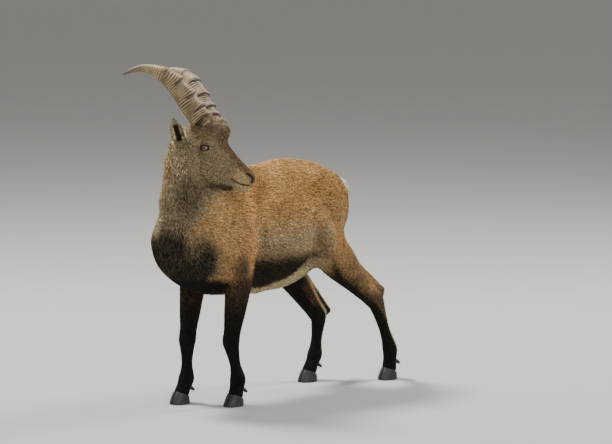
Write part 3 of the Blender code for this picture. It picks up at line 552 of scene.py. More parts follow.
# Slit of a nostril, from behind to its front: along, out, up and half height
NOSTRIL = ((0.166, 0.0290, 0.0155, 0.0018), (0.177, 0.0268, 0.0180, 0.0036),
           (0.188, 0.0222, 0.0180, 0.0058), (0.198, 0.0150, 0.0150, 0.0062))
NOSTRIL_DEPTH = 0.0080
# Soft bumps and dents of the body's skin, on both sides: place, half sizes, height
BODY_RELIEF = (
    ((0.140, 0.078, 0.600), (0.050, 0.020, 0.110), -0.0060),  # behind the shoulder
    ((0.085, -0.190, 0.640), (0.040, 0.030, 0.070), -0.0070),  # between neck and shoulder
    ((0.130, 0.300, 0.695), (0.050, 0.050, 0.050), -0.0045),  # hollow of the flank
    ((0.105, 0.342, 0.738), (0.034, 0.030, 0.026), 0.0030),  # point of the hip
    ((0.150, 0.325, 0.560), (0.040, 0.030, 0.070), -0.0045),  # before the thigh
    ((0.130, 0.500, 0.590), (0.040, 0.018, 0.080), -0.0050),  # groove of the thigh
    ((0.160, 0.210, 0.560), (0.040, 0.050, 0.120), 0.0030),  # last ribs
    ((0.140, 0.025, 0.460), (0.030, 0.020, 0.020), 0.0040),  # elbow
    ((0.060, -0.225, 0.520), (0.030, 0.040, 0.060), 0.0040),  # breast muscle
    ((0.000, -0.240, 0.500), (0.014, 0.060, 0.090), -0.0050),  # groove of the breast
    ((0.000, -0.020, 0.812), (0.030, 0.070, 0.030), 0.0030),  # withers
    ((0.052, 0.200, 0.815), (0.024, 0.110, 0.030), -0.0030),  # beside the spine
    ((0.000, 0.175, 0.352), (0.020, 0.036, 0.020), 0.0100),  # sheath
)
MOUTH_DEPTH = 0.0042
MOUTH_HALF = 0.0017

HEAD_CUT = (np.array([-0.025, -0.146, 0.822]), unit(UP + 0.55 * LEVEL[0]))
SEAM_SOFT = 0.012


def in_order(points, faces):
    """A new mesh of the points and faces, with its faces pointing outwards."""
    mesh = bpy.data.meshes.new("shape")
    mesh.from_pydata(points.tolist(), [], faces)
    work = bmesh.new()
    work.from_mesh(mesh)
    bmesh.ops.recalc_face_normals(work, faces=work.faces)
    work.to_mesh(mesh)
    work.free()
    return mesh


def add_piece(name, mesh):
    made = bpy.data.objects.new(name, mesh)
    bpy.context.scene.collection.objects.link(made)
    return made


def merged(forms):
    points, faces, count = [], [], 0
    for form_points, form_faces in forms:
        points.append(form_points)
        faces += [tuple(k + count for k in face) for face in form_faces]
        count += len(form_points)
    return np.vstack(points), faces


def applied(made):
    """The object with its modifiers applied to its mesh."""
    graph = bpy.context.evaluated_depsgraph_get()
    mesh = bpy.data.meshes.new_from_object(made.evaluated_get(graph))
    made.modifiers.clear()
    made.data = mesh
    return made


def joined(made, forms, operation):
    """The object after a Boolean with the forms."""
    tool = add_piece("tool", in_order(*merged(forms)))
    boolean = made.modifiers.new("join", "BOOLEAN")
    boolean.operation = operation
    boolean.solver = "MANIFOLD"
    boolean.object = tool
    applied(made)
    bpy.data.objects.remove(tool)
    return made


def slab(middle, normal, size, depth):
    """A box that fills the side of a plane that its normal points to."""
    along = unit(np.cross(normal, (0.3, 0.9, 0.1)))
    across = np.cross(normal, along)
    corners = [middle + normal * rise + along * a + across * b for rise in (0.0, depth)
               for a, b in ((-size, -size), (size, -size), (size, size), (-size, size))]
    return np.array(corners), [(3, 2, 1, 0), (4, 5, 6, 7), (0, 1, 5, 4), (1, 2, 6, 5),
                               (2, 3, 7, 6), (3, 0, 4, 7)]


def points_of(mesh):
    points = np.empty(len(mesh.vertices) * 3)
    mesh.vertices.foreach_get("co", points)
    return points.reshape(-1, 3)


def edges_of(mesh):
    edges = np.empty(len(mesh.edges) * 2, int)
    mesh.edges.foreach_get("vertices", edges)
    return edges.reshape(-1, 2).T


def normals_of(mesh):
    normals = np.empty(len(mesh.vertices) * 3)
    mesh.vertex_normals.foreach_get("vector", normals)
    return normals.reshape(-1, 3)


def place_points(mesh, points):
    mesh.vertices.foreach_set("co", points.ravel())
    mesh.update()


def averaged(values, edges):
    """The mean of each point's neighbours along the edges, for every column."""
    a, b = edges
    count = len(values)
    number = np.bincount(a, minlength=count) + np.bincount(b, minlength=count)
    total = np.column_stack([np.bincount(a, column[b], count) + np.bincount(b, column[a], count)
                             for column in values.T])
    return total / np.maximum(number, 1)[:, None]


def relaxed(points, edges, share, rounds):
    """Laplacian smoothing: each point goes a share of the way to its neighbours' mean, in rounds."""
    share = np.broadcast_to(share, len(points))[:, None]
    for _ in range(rounds):
        points = points + share * (averaged(points, edges) - points)
    return points


def fused(name, forms, voxel, share_at, rounds):
    """The forms joined by a voxel remesh and smoothed."""
    made = add_piece(name, in_order(*merged(forms)))
    remesh = made.modifiers.new("fuse", "REMESH")
    remesh.mode = "VOXEL"
    remesh.voxel_size = voxel
    applied(made)
    points = points_of(made.data)
    place_points(made.data, relaxed(points, edges_of(made.data), share_at(points), rounds))
    return made


# Parts of the coat, each with a spine of its own
PARTS = ("trunk", "neck", "head", "fore_left", "fore_right", "hind_left", "hind_right", "tail")


def spines():
    """For each part: the middles and radii along its spine, and the lie of the hair there."""
    y, top, wide, bottom, half, keel = spline(TRUNK, 48).T
    middle = np.column_stack([0 * y, y, (top + bottom) / 2])
    down = -0.30 - 0.9 * step(y, 0.40, 0.60) - 1.2 * (1 - step(y, -0.25, -0.10))
    back = 1 - 0.8 * (1 - step(y, -0.25, -0.10))
    parts = {"trunk": (middle, (top - bottom) * 0.25 + half * 0.5, np.column_stack([0 * y, back, down]))}
    rows, path, throat = neck_rows(40)
    rows, path = rows[8:], path[8:]
    parts["neck"] = (rows[:, :3], rows[:, 3:6].mean(1), -path)
    along, top, wide, bottom, half = spline(HEAD, 32).T
    middle = HEAD_AT + along[:, None] * HEADED[0] + ((top + bottom) / 2)[:, None] * HEADED[2]
    lie = np.broadcast_to(-HEADED[0] - 0.30 * HEADED[2], middle.shape)
    parts["head"] = (middle, (top - bottom) * 0.25 + half * 0.5, lie)
    for side, sign in SIDES:
        for limb, joints, profile, first in (("fore", FORE_JOINTS, FORE_PROFILE, 0.75),
                                             ("hind", HIND_JOINTS, HIND_PROFILE, 0.55)):
            middle, rows = leg_rows(joints[side], profile, 72)
            keep = rows[:, 0] >= first
            parts[limb + "_" + side] = (middle[keep], rows[keep, 1:].mean(1), path_of(middle)[keep])
    rows = spline(TAIL, 10)[3:]
    parts["tail"] = (rows[:, :3], rows[:, 3:].mean(1), path_of(rows[:, :3]))
    return parts


def part_fields(points):
    """Shares of the parts at the points, the lie of the hair there and the place along each part.

    The distance to a part is the least of |point - middle| / radius over its spine, and a
    part's share falls as exp(-7 (distance - least distance)).
    """
    near, place, lies = [], [], []
    parts = spines()
    for name in PARTS:
        middle, radius, lie = parts[name]
        best = np.full(len(points), 1e9)
        index = np.zeros(len(points), int)
        for k, (centre, size) in enumerate(zip(middle, radius)):
            far = np.sqrt(((points - centre) ** 2).sum(1)) / size
            closer = far < best
            best[closer] = far[closer]
            index[closer] = k
        near.append(best)
        place.append(index / (len(middle) - 1))
        lies.append((lie / norms(lie))[index])
    near = np.array(near)
    share = np.exp(-7 * (near - near.min(0)))
    share /= share.sum(0)
    lie = (share[..., None] * np.array(lies)).sum(0)
    return dict(zip(PARTS, share)), dict(zip(PARTS, place)), lie


def polyline_near(points, line):
    """Distance to a polyline of (x, y, z, value...) rows, and the values at the nearest place on it."""
    best = np.full(len(points), 1e9)
    values = np.zeros((len(points), line.shape[1] - 3))
    for a, b in zip(line[:-1], line[1:]):
        span = b[:3] - a[:3]
        t = np.clip((points - a[:3]) @ span / (span @ span), 0, 1)
        far = np.sqrt(((points - (a[:3] + t[:, None] * span)) ** 2).sum(1))
        closer = far < best
        best[closer] = far[closer]
        values[closer] = (a[3:] + t[:, None] * (b[3:] - a[3:]))[closer]
    return best, values


def mouth_distance(place):
    """Distance from the line of the mouth, seen from the side of the head."""
    return polyline_near(place * (1, 0, 1), spline(np.array(MOUTH) * (1, 0, 1), 24))[0]


def nostril_distance(place, sign):
    """Distance from the middle line of a nostril, and its half height there."""
    far, half = polyline_near(place, spline(np.array(NOSTRIL) * (1, sign, 1, 1), 20))
    return far, half[:, 0]


def eye_fields(points, sign):
    """Steps from an eye's middle in the head, and the almond's own radius: 1 on the edge of the lids.

    The radius is (|a / length|^1.9 + |b / height|^1.6)^(1 / 1.75), a along the slanted
    opening and b across it.
    """
    apart = in_head(points) - on_both(EYE_AT, sign)
    a = apart[:, 0] * math.cos(EYE_SLANT) + apart[:, 2] * math.sin(EYE_SLANT)
    b = apart[:, 2] * math.cos(EYE_SLANT) - apart[:, 0] * math.sin(EYE_SLANT)
    almond = (np.abs(a / EYE_OPENING[0]) ** 1.9 + np.abs(b / EYE_OPENING[1]) ** 1.6) ** (1 / 1.75)
    almond[apart[:, 1] * sign < 0.004] = 9.0
    return apart, a, b, almond


def open_lids(points):
    """Sinks the skin behind each eyeball inside the almond and rolls a lid round its edge."""
    for sign in (1, -1):
        apart, _, _, almond = eye_fields(points, sign)
        far = norms(apart)[:, 0]
        lid = EYE_RADIUS + 0.0004 + LID * np.sin(np.clip((almond - 1) / 0.34, 0, 1) * math.pi / 2)
        target = np.where(almond < 1, EYE_RADIUS - 0.0035, lid)
        target = target + (far - target) * step(almond, 1.45, 2.3)
        touched = almond < 2.3
        points[touched] = HEAD_AT + ((apart * (target / far)[:, None])[touched]
                                     + on_both(EYE_AT, sign)) @ HEADED
    return points


def body_relief(points, normals):
    """Adds the body's soft bumps: height * exp(-|offset / half sizes|^2) along the normal, on both sides."""
    rise = np.zeros(len(points))
    for centre, sizes, height in BODY_RELIEF:
        for sign in (1, -1) if centre[0] else (1,):
            rise += height * np.exp(-(((points - on_side(centre, sign)) / sizes) ** 2).sum(1))
    return points + normals * rise[:, None]


def face_relief(points, normals, mask):
    """Adds the soft bumps: height * exp(-|offset / half sizes|^2) along the normal, on both sides.

    The mouth is a groove, -depth * exp(-(distance / half)^2), and a nostril is sunk inside its
    half height. A low rim stands beside both.
    """
    place = in_head(points)
    rise = np.zeros(len(points))
    for centre, sizes, height in FACE_RELIEF:
        for sign in (1, -1):
            rise += height * np.exp(-(((place - on_both(centre, sign)) / sizes) ** 2).sum(1))
    far = mouth_distance(place)
    rise -= MOUTH_DEPTH * np.exp(-(far / MOUTH_HALF) ** 2)
    rise += 0.0010 * np.exp(-((far - 0.0052) / 0.0032) ** 2)
    for sign in (1, -1):
        far, half = nostril_distance(place, sign)
        rise -= NOSTRIL_DEPTH * (1 - step(far, half * 0.55, half * 1.25))
        rise += 0.0012 * np.exp(-((far - half - 0.0028) / 0.0020) ** 2)
    return points + normals * (rise * mask)[:, None]


def horn_form(sign):
    """Points, faces and groove shares of a horn: painted shade in the troughs of its rings and under its knobs.

    Its section is a super-ellipse of power 2.7, narrower behind. On its front half stand knobs,
    height * exp(-(|length - place| / reach)^2), steep towards the base and long towards the tip.
    Rings of growth run all round: sines of three spacings, whose places wander along and round
    the horn, so that no two are alike.
    """
    place, half, centres, side, front = horn_path(sign)
    across, along = section(HORN_AROUND, 2.7)
    sizes = bpy.context.scene.ibex_sizes
    ahead = np.clip(along, 0, 1)[None]
    turn = np.linspace(0, 2 * math.pi, HORN_AROUND, endpoint=False)[None]
    far = place[:, None]
    wander = (0.0016 * np.sin(turn + far * 61 + sign) + 0.0010 * np.sin(3 * turn - far * 97)
              + 0.0007 * np.sin(5 * turn + far * 153 + 2 * sign) + 0.0030 * np.sin(far * 47 + sign))
    knob = np.zeros(wander.shape)
    for where, height, below, above in KNOBS:
        apart = far + 0.8 * wander - where
        knob += height * np.exp(-(np.abs(apart) / np.where(apart < 0, below, above)) ** 2)
    knob *= sizes.knob_share
    spacing = 2 * math.pi / sizes.ring_spacing
    broad = np.sin(spacing * (far + wander))
    close = np.sin(spacing * 2.3 * (far + 1.6 * wander))
    fine = np.sin(spacing * 4.7 * (far - 1.3 * wander))
    swell = 0.55 + 0.45 * np.sin(far * 83 + turn * 2 + sign)
    fade = np.clip(half / 0.03, 0.05, 1)[:, None] * np.clip((0.34 - far) / 0.10, 0.15, 1)
    rough = fade * (0.00062 * swell * broad + 0.00034 * (1.2 - swell) * close + 0.00014 * fine)
    bulge = knob * (0.08 + 0.92 * step(ahead, 0.15, 0.75))
    half = half - HORN_DRAWN_IN
    depth = half[:, None] * along * np.where(along > 0, 0.94, 1.0) + bulge * ahead + rough * along
    narrow = 1 - 0.22 * np.clip(-along, 0, 1)
    width = half[:, None] * HORN_WIDTH_SHARE * across * narrow + 0.35 * bulge * across + rough * across
    rings = centres[:, None] + side[:, None] * width[..., None] + front[:, None] * depth[..., None]
    # Painted shadow under each knob, on its side towards the base.
    under = np.clip(np.gradient(knob, place, axis=0) * 0.55, 0, 0.8) * step(ahead, 0.05, 0.5)
    # Painted shade in the troughs of the rings, joined with the shadow under the knobs.
    groove = fade * np.clip(0.30 - 0.30 * swell * broad - 0.22 * (1.2 - swell) * close - 0.10 * fine, 0, 1)
    groove = np.clip(groove + under, 0, 1)
    length = np.broadcast_to((place / place[-1])[:, None], groove.shape)
    points, faces = skin_of(rings)
    marks = [np.append(m.ravel(), (m[0].mean(), m[-1].mean())) for m in (groove, length)]
    return points, faces, marks


def eye_form(sign):
    """A ball with the clear front's bulge: round the gaze its radius grows by
    0.8 mm * (1 - (angle / 0.62)^2).

    Its marks are the angle from the gaze and the pupil's own radius, a rounded bar
    lying level: (|a / 4.6 mm|^4 + |b / 2.1 mm|^4)^(1/4).
    """
    sight = unit(np.array((0.22, sign, 0.04)))
    level = HEADED @ LEVEL[0]
    aside = unit(level - sight * (level @ sight))
    above = np.cross(sight, aside)
    angle = np.linspace(0.02, math.pi - 0.02, 64)
    turn = np.linspace(0, 2 * math.pi, 72, endpoint=False)
    radius = EYE_RADIUS + 0.0008 * np.clip(1 - (angle / 0.62) ** 2, 0, 1)
    a = radius[:, None] * np.sin(angle)[:, None] * np.cos(turn)
    b = radius[:, None] * np.sin(angle)[:, None] * np.sin(turn)
    c = np.broadcast_to((radius * np.cos(angle))[:, None], a.shape)
    local = a[..., None] * aside + b[..., None] * above + c[..., None] * sight
    rings = HEAD_AT + (local + on_both(EYE_AT, sign)) @ HEADED
    pupil = ((np.abs(a) / 0.0046) ** 4 + (np.abs(b) / 0.0021) ** 4) ** 0.25 + 3 * (c < 0)
    points, faces = skin_of(rings)
    wide = np.broadcast_to(angle[:, None], a.shape)
    marks = [np.append(m.ravel(), (m[0].mean(), m[-1].mean())) for m in (wide, pupil)]
    return points, faces, marks


def claw_form(joints, sign):
    """One half of a cloven hoof: the outline, ahead * cos t and out * sin^p t, with p 1.0 at the toe
    and 0.7 at the heel, drawn in towards the coronet's plane, with faint level rings. The wall
    along the cleft turns out by spread * (ahead / front)^2 at the toe.
    """
    foot = np.array(joints[-1])
    turn = np.linspace(0, math.pi, 41)
    ahead = np.where(np.cos(turn) > 0, CLAW_FRONT, CLAW_BACK) * np.cos(turn)
    out = CLAW_HALF_WIDTH * np.sin(turn) ** np.where(np.cos(turn) > 0, 1.0, 0.7)
    height = np.linspace(0, 1, 28)
    shape = spline(((1.00, 0.98, 1.02), (0.97, 1.00, 1.04), (0.88, 1.00, 1.03), (0.79, 0.99, 1.01),
                    (0.69, 0.98, 0.98), (0.60, 0.96, 0.95)), 28)
    rings = []
    for rise, (front, back, width) in zip(height, shape):
        edge = 1 - 0.10 * math.exp(-rise / 0.012)
        ripple = 1 + 0.006 * math.sin(rise * 44) * math.sin(min(rise * 5, 1) * math.pi / 2)
        forward = ahead * np.where(ahead > 0, front, back) * edge * ripple
        aside = out * width * edge * ripple + CLAW_CLEFT / 2
        inner = np.linspace(1, 0, 12)[1:-1]
        forward = np.append(forward, forward[-1] * inner + forward[0] * (1 - inner))
        aside = np.append(aside, np.full(10, CLAW_CLEFT / 2))
        aside += CLAW_SPREAD * np.clip(forward / CLAW_FRONT, 0, 1) ** 2
        top = GROUND + CORONET_HEIGHT + CORONET_SLOPE * forward - 0.0003
        rings.append(np.column_stack([foot[0] + sign * aside, foot[1] - forward,
                                      GROUND + (top - GROUND) * rise]))
    return skin_of(np.array(rings))


def dewclaw_form(joints, sign):
    """A short blunt cone behind and beside the pastern, pointing back and down."""
    fetlock, foot = np.array(joints[-2]), np.array(joints[-1])
    start = fetlock * 0.42 + foot * 0.58 + (sign * 0.0130, 0.0140, 0.0030)
    axis = unit([sign * 0.45, 0.62, -0.62])
    radius, length = DEWCLAW
    turn, share = spline(((0.0, 0.75), (0.25, 1.0), (0.6, 0.92), (0.85, 0.66), (1.0, 0.28)), 24).T
    ring = radius * share * (1 + 0.02 * np.sin(turn * 30))
    side = unit(np.cross(axis, UP))
    return loft(start + axis * (turn * length)[:, None], side, np.cross(axis, side),
                ring * 1.1, ring * 0.8, ring * 0.8, 24)


def markings(points, normals, share):
    """Shares of the coat's colours at the points, all by steps of place, height and part. Some are painted
    light: painted shade on the chest, throat and right hind leg, between chest and arm, under the horns and
    between the lips, and a painted rim light on the chest.
    """
    x, y, z = points.T
    trunk, neck, head, tail = (share[k] for k in ("trunk", "neck", "head", "tail"))
    fore = share["fore_left"] + share["fore_right"]
    hind = share["hind_left"] + share["hind_right"]
    out = np.abs(x)
    along, aside, rise = in_head(points).T
    # Flank: a grey wash low down, a soft dark band over a pale belly that climbs to the fold
    line = 0.388 + 0.026 * step(y, 0.12, 0.23) + 0.070 * step(y, 0.21, 0.32)
    band = step(z, line - 0.012, line + 0.012) * (1 - step(z, 0.468, 0.545))
    band *= step(y, -0.02, 0.05) * (1 - step(y, 0.33, 0.40))
    belly = (1 - step(z, line - 0.016, line + 0.006)) * step(y, -0.04, 0.04) * (1 - step(y, 0.50, 0.60))
    belly *= 1 - step(y, 0.25, 0.30) * step(out, 0.105, 0.130)
    belly *= 1 - step(y, 0.32, 0.37) * step(out, 0.05, 0.08)
    scar = 0.7 * np.exp(-(((y - 0.405) / 0.010) ** 2 + ((z - 0.704) / 0.0055) ** 2)) * (x > 0)
    wash = (1 - step(z, 0.50, 0.66)) * step(y, 0.0, 0.12) + 0.35 * (1 - step(z, 0.62, 0.74))
    # Chest and shoulder: grizzled, darkest below and down the middle, partly dark hair and partly painted
    # shade; painted shade between chest and arm; pale along the front edge of the right side, a painted rim
    # light
    body = np.clip(trunk + neck, 0, 1)
    front_part = 1 - step(y, -0.20, -0.13)
    breast = (1 - step(z, 0.57, 0.66)) * front_part
    middle = front_part * (1 - step(out, 0.055, 0.100)) * (1 - step(z, 0.74, 0.86))
    # Painted shade in the crease between the chest and the upper arm.
    chest_arm_shade = np.exp(-((y + 0.175) / 0.035) ** 2) * (1 - step(z, 0.52, 0.60)) * step(out, 0.06, 0.11)
    arm = (1 - step(z, 0.44, 0.58)) * (1 - step(y, -0.10, 0.0))
    edge = np.exp(-((y - 0.012 + (0.50 - z) * 0.10) / 0.022) ** 2) * step(z, 0.42, 0.47)
    # Painted rim light: a pale edge along the chest's front on the right side only.
    rim = body * step(-x, 0.020, 0.055) * (1 - step(y, -0.19, -0.12)) * step(z, 0.585, 0.64)
    chest = breast * 0.56 + middle * 0.36 + chest_arm_shade * 0.42 + arm * 0.34
    # Darker low on the chest: partly dark hair, partly painted shade.
    chest += 0.25 * (1 - step(z, 0.44, 0.52)) * front_part
    chest = np.clip(chest, 0, 0.78) * (1 - rim * 0.9)
    # Darker under the front of the trunk: partly dark hair, partly painted shade under the body.
    under = (1 - step(z, 0.415, 0.46)) * (1 - step(y, -0.03, 0.03)) * 0.8
    dark = trunk * np.clip(band * 0.88 + chest + under + scar, 0, 1)
    # Legs: near black from the knee down, the forearm brown, the rear edge of the thigh rust
    fore_dark = 1 - 0.48 * step(z, 0.44, 0.58) - 0.40 * step(z, 0.30, 0.44) - 0.12 * step(z, 0.2, 0.3)
    dark += fore * np.clip(fore_dark - edge * 0.3, 0, 1)
    rear = step(normals[:, 1] + 0.35 * normals[:, 2], 0.15, 0.80)
    front = step(-normals[:, 1] - 0.45 * normals[:, 2], 0.15, 0.75)
    inner = step(-normals[:, 0] * np.sign(x), 0.15, 0.70)
    shank = step(z, 0.20, 0.32) * (1 - step(z, 0.44, 0.56))
    foot = 1 - step(z, 0.20, 0.30)
    fold = np.exp(-((y - 0.365 - (0.52 - z) * 0.55) / 0.030) ** 2)
    fold *= (1 - step(z, 0.54, 0.64)) * step(z, 0.34, 0.40)
    hind_dark = front * (1 - step(z, 0.42, 0.60)) + fold * 0.9 + foot
    hind_dark += shank * (0.45 * inner * (1 - rear) + 0.30 * (1 - front) * (1 - inner))
    dark += hind * np.clip(hind_dark, 0, 1)
    # The right hind leg, the far one, darker low down away from its rear: painted shade.
    dark += share["hind_right"] * (1 - step(z, 0.40, 0.56)) * 0.35 * (1 - rear)
    streak = hind * shank * inner * 0.55 * rear
    heel = hind * rear * step(z, 0.085, 0.13) * (1 - step(z, 0.25, 0.30))
    # Neck: grizzled grey, rust along the nape, darker down the throat and towards the chest: partly dark hair,
    # partly painted shade
    axis = normals @ np.array([math.sin(HEAD_TURN * 0.7), -math.cos(HEAD_TURN * 0.7), 0])
    nape = neck * step(-axis, -0.45, 0.45) * 0.9
    throat = neck * step(axis, 0.25, 0.85) * (1 - step(z, 0.74, 0.90))
    dark += neck * (throat * 0.36 + chest * 0.6)
    # Head: grey cheeks, brown bridge and forehead, cream muzzle, eye ring and chin, dark jaw line, and a dark
    # band across the head under the horns, partly dark hair and partly painted shade
    lip = np.exp(-(((along - 0.172) / 0.030) ** 2 + ((rise + 0.004) / 0.017) ** 2))
    chin = step(along, 0.155, 0.180) * (1 - step(rise, -0.022, -0.008))
    muzzle = head * np.clip(lip * 1.5 + chin, 0, 1)
    muzzle *= 1 - step(rise, 0.014, 0.026)
    bridge = head * step(rise + 0.20 * along, 0.030, 0.062) * step(along, 0.016, 0.05)
    forehead = head * step(rise, 0.035, 0.070) * (1 - step(along, 0.030, 0.060))
    jaw = head * (1 - step(rise - 0.527 * along, -0.146, -0.126)) * (1 - step(np.abs(aside), 0.028, 0.044))
    jaw *= step(along, 0.03, 0.08) * (1 - step(along, 0.165, 0.185))
    # Dark band under the horns: partly dark hair, partly painted shade in the hollow between horn and forehead.
    dark_hair_and_shade_under_horn = head * np.exp(-(((along + 0.050) / 0.030) ** 2 + ((rise - 0.060) / 0.022) ** 2))
    ring = np.zeros(len(points))
    bare = np.zeros(len(points))
    for sign in (1, -1):
        _, a, b, almond = eye_fields(points, sign)
        rim_of_eye = np.hypot(a / EYE_RIM[0], b / EYE_RIM[1]) + (almond > 8) * 9
        brow = step(rim_of_eye, 0.95, 1.15) * (1 - step(rim_of_eye, 1.5, 2.3))
        ring = np.maximum(ring, brow * (0.35 + 0.65 * step(b - 0.3 * a, -0.004, 0.012)))
        bare = np.maximum(bare, 1 - step(rim_of_eye, 0.84, 1.0))
        duct = np.exp(-((a - 0.0215) / 0.0060) ** 2 - ((b + 0.0030) / 0.0034) ** 2) * (almond < 8)
        bare = np.maximum(bare, step(duct, 0.25, 0.6))
        far, half = nostril_distance(in_head(points), sign)
        bare = np.maximum(bare, 1 - step(far, half * 0.9, half * 1.1 + 0.0022))
    # Dark line along the mouth: partly the lips' bare skin, partly painted shadow between the lips.
    lips = 1 - step(mouth_distance(in_head(points)), 0.0018, 0.0038)
    bare = np.maximum(bare, lips * (head > 0.5))
    septum = step(along, 0.196, 0.203) * (1 - step(np.abs(aside), 0.010, 0.016)) * step(rise, -0.008, 0.0)
    bare = np.maximum(bare, head * septum * 0.9) * (head > 0.3)
    rust = hind * rear * step(z, 0.24, 0.34) + nape
    rust += trunk * step(y, 0.50, 0.60) * 0.5 + (trunk + fore) * edge
    grey = neck * (1 - nape) + head * (1 - bridge * 0.5) * (1 - muzzle) + trunk * np.clip(wash, 0, 1) * 0.7
    grey += trunk * np.clip(chest + middle, 0, 1) * 0.9 + hind * shank * 0.4
    temple = head * step(rise, 0.010, 0.040) * (1 - step(along, -0.010, 0.040)) * (1 - forehead)
    grey = grey * (1 - 0.45 * temple)
    tip_of_hock = np.exp(-((z - share["hind_left"] * 0.296 - share["hind_right"] * 0.232) / 0.035) ** 2)
    brown = bridge * 0.75 + forehead * 0.45 + hind * shank * (1 - rear) * 0.30 + fore * (1 - edge * 0.6)
    brown += hind * tip_of_hock * 0.8 + trunk * fold * 0.5
    # The chest's rim adds cream here as painted rim light.
    cream = trunk * belly + streak + heel * 0.8 + muzzle * 0.70 + ring * 0.62 * (head > 0.3) + rim * 0.75
    inner_ear = np.zeros(len(points))
    pale_ear = np.zeros(len(points))
    for sign in (1, -1):
        place_on, off, ear, _, opening = ear_fields(points, sign)
        cup = ear * step(normals @ opening, 0.05, 0.45)
        core = 1 - step(np.abs(off), 0.008, 0.014)
        deep = step(place_on, 0.12, 0.25) * (1 - step(place_on, 0.70, 0.88))
        inner_ear = np.maximum(inner_ear, cup * core * deep)
        pale_ear = np.maximum(pale_ear, cup * (1 - core) * 0.8)
    cream += pale_ear
    grey += 0.5 * inner_ear
    white = tail + trunk * step(y, 0.560, 0.590) * (1 - step(out, 0.045, 0.075)) * step(z, 0.60, 0.66)
    dark = np.clip(dark, 0, 1) * (1 - np.clip(cream, 0, 1))
    dark += jaw * 0.85 + dark_hair_and_shade_under_horn * 0.75 + inner_ear * 0.9
    shares = [np.clip(one, 0, 1) for one in (rust, grey, dark, cream, white, bare, brown, 0 * x)]
    return np.column_stack(shares[:4]), np.column_stack(shares[4:])


def ear_fields(points, sign):
    """Place along an ear, step to its side, its share, and its directions to the tip and out of its opening."""
    root, length, axis, side, opening = ear_frame(sign)
    place = (points - root) @ axis / length
    aside = (points - root) @ side
    out = (points - root) @ opening
    share = step(place, 0.10, 0.20) * (place < 1.1)
    share = share * (1 - step(np.abs(aside), 0.032, 0.036)) * (1 - step(np.abs(out), 0.034, 0.040))
    return place, aside, share, axis, opening


def coat_fields(points, share, place, ears):
    """Hair length, tuft width, depth of the coat and roots for each square metre at the points."""
    sizes = bpy.context.scene.ibex_sizes
    along, aside, rise = in_head(points).T
    forehead = step(rise, 0.050, 0.075) * (1 - step(along, 0.030, 0.060)) * step(along, -0.055, -0.035)
    muzzle = step(along, 0.110, 0.165)
    cheek = 1 - step(along, -0.02, 0.07)
    head = (sizes.face_hair * (1 - 0.50 * muzzle + 0.55 * cheek) + 0.010 * forehead,
            0.0017 - 0.0004 * muzzle + 0.0011 * forehead,
            0.0024 + 0.0002 * muzzle + 0.0012 * cheek + 0.0010 * forehead)
    table = {"trunk": (sizes.trunk_hair, 0.0036, 0.0070), "neck": (sizes.neck_hair, 0.0034, 0.0080),
             "head": head, "tail": (0.034, 0.0034, 0.0050)}
    for name in PARTS:
        if name[:4] in ("fore", "hind"):
            low = step(place[name], 0.15, 0.75)
            table[name] = (sizes.leg_hair * (1 - 0.42 * low), 0.0030 - 0.0010 * low, 0.0045 - 0.0024 * low)
    rows = [sum(share[name] * table[name][k] for name in PARTS) for k in range(3)]
    for ear in ears:
        for row, value in zip(rows, (0.008, 0.0017, 0.0008)):
            row += ear * (value - row)
    length, width, depth = rows
    density = sizes.cover / (0.5 * length * width)
    return length, width, depth, density


def build_skin():
    """The fused body and head, parted and joined again in the neck, with the ears on."""
    body = fused("skin", body_forms(), BODY_VOXEL,
                 lambda p: np.clip((p[:, 2] - 0.38) / 0.12, 0.08, 0.6), 30)
    place_points(body.data, body_relief(points_of(body.data), normals_of(body.data)))
    joined(body, [slab(HEAD_CUT[0], HEAD_CUT[1], 0.13, 0.40)], "DIFFERENCE")
    head = fused("head_skin", head_forms(), HEAD_VOXEL, lambda p: np.full(len(p), 0.5), 14)
    points = points_of(head.data)
    crown = 0.6 * step(in_head(points)[:, 2], CROWN_FROM, CROWN_FROM + 0.015)
    place_points(head.data, relaxed(points, edges_of(head.data), crown, 16))
    joined(head, [slab(HEAD_CUT[0] - HEAD_CUT[1] * 0.001, -HEAD_CUT[1], 0.40, 0.60)], "DIFFERENCE")
    joined(body, [(points_of(head.data), [tuple(f.vertices) for f in head.data.polygons])], "UNION")
    bpy.data.objects.remove(head)
    joined(body, [ear_form(1), ear_form(-1)], "UNION")
    work = bmesh.new()
    work.from_mesh(body.data)
    bmesh.ops.remove_doubles(work, verts=work.verts, dist=0.0002)
    work.to_mesh(body.data)
    work.free()
    mesh = body.data
    points, edges = points_of(mesh), edges_of(mesh)
    seam = np.exp(-(((points - HEAD_CUT[0]) @ HEAD_CUT[1]) / SEAM_SOFT) ** 2)
    seam *= norms(points - HEAD_CUT[0])[:, 0] < 0.14
    root = sum(np.exp(-(norms(points - ear_frame(sign)[0])[:, 0] / 0.022) ** 2) for sign in (1, -1))
    points = relaxed(points, edges, np.clip(seam * 0.7 + root * 0.5, 0, 0.7), 20)
    place_points(mesh, points)
    return body


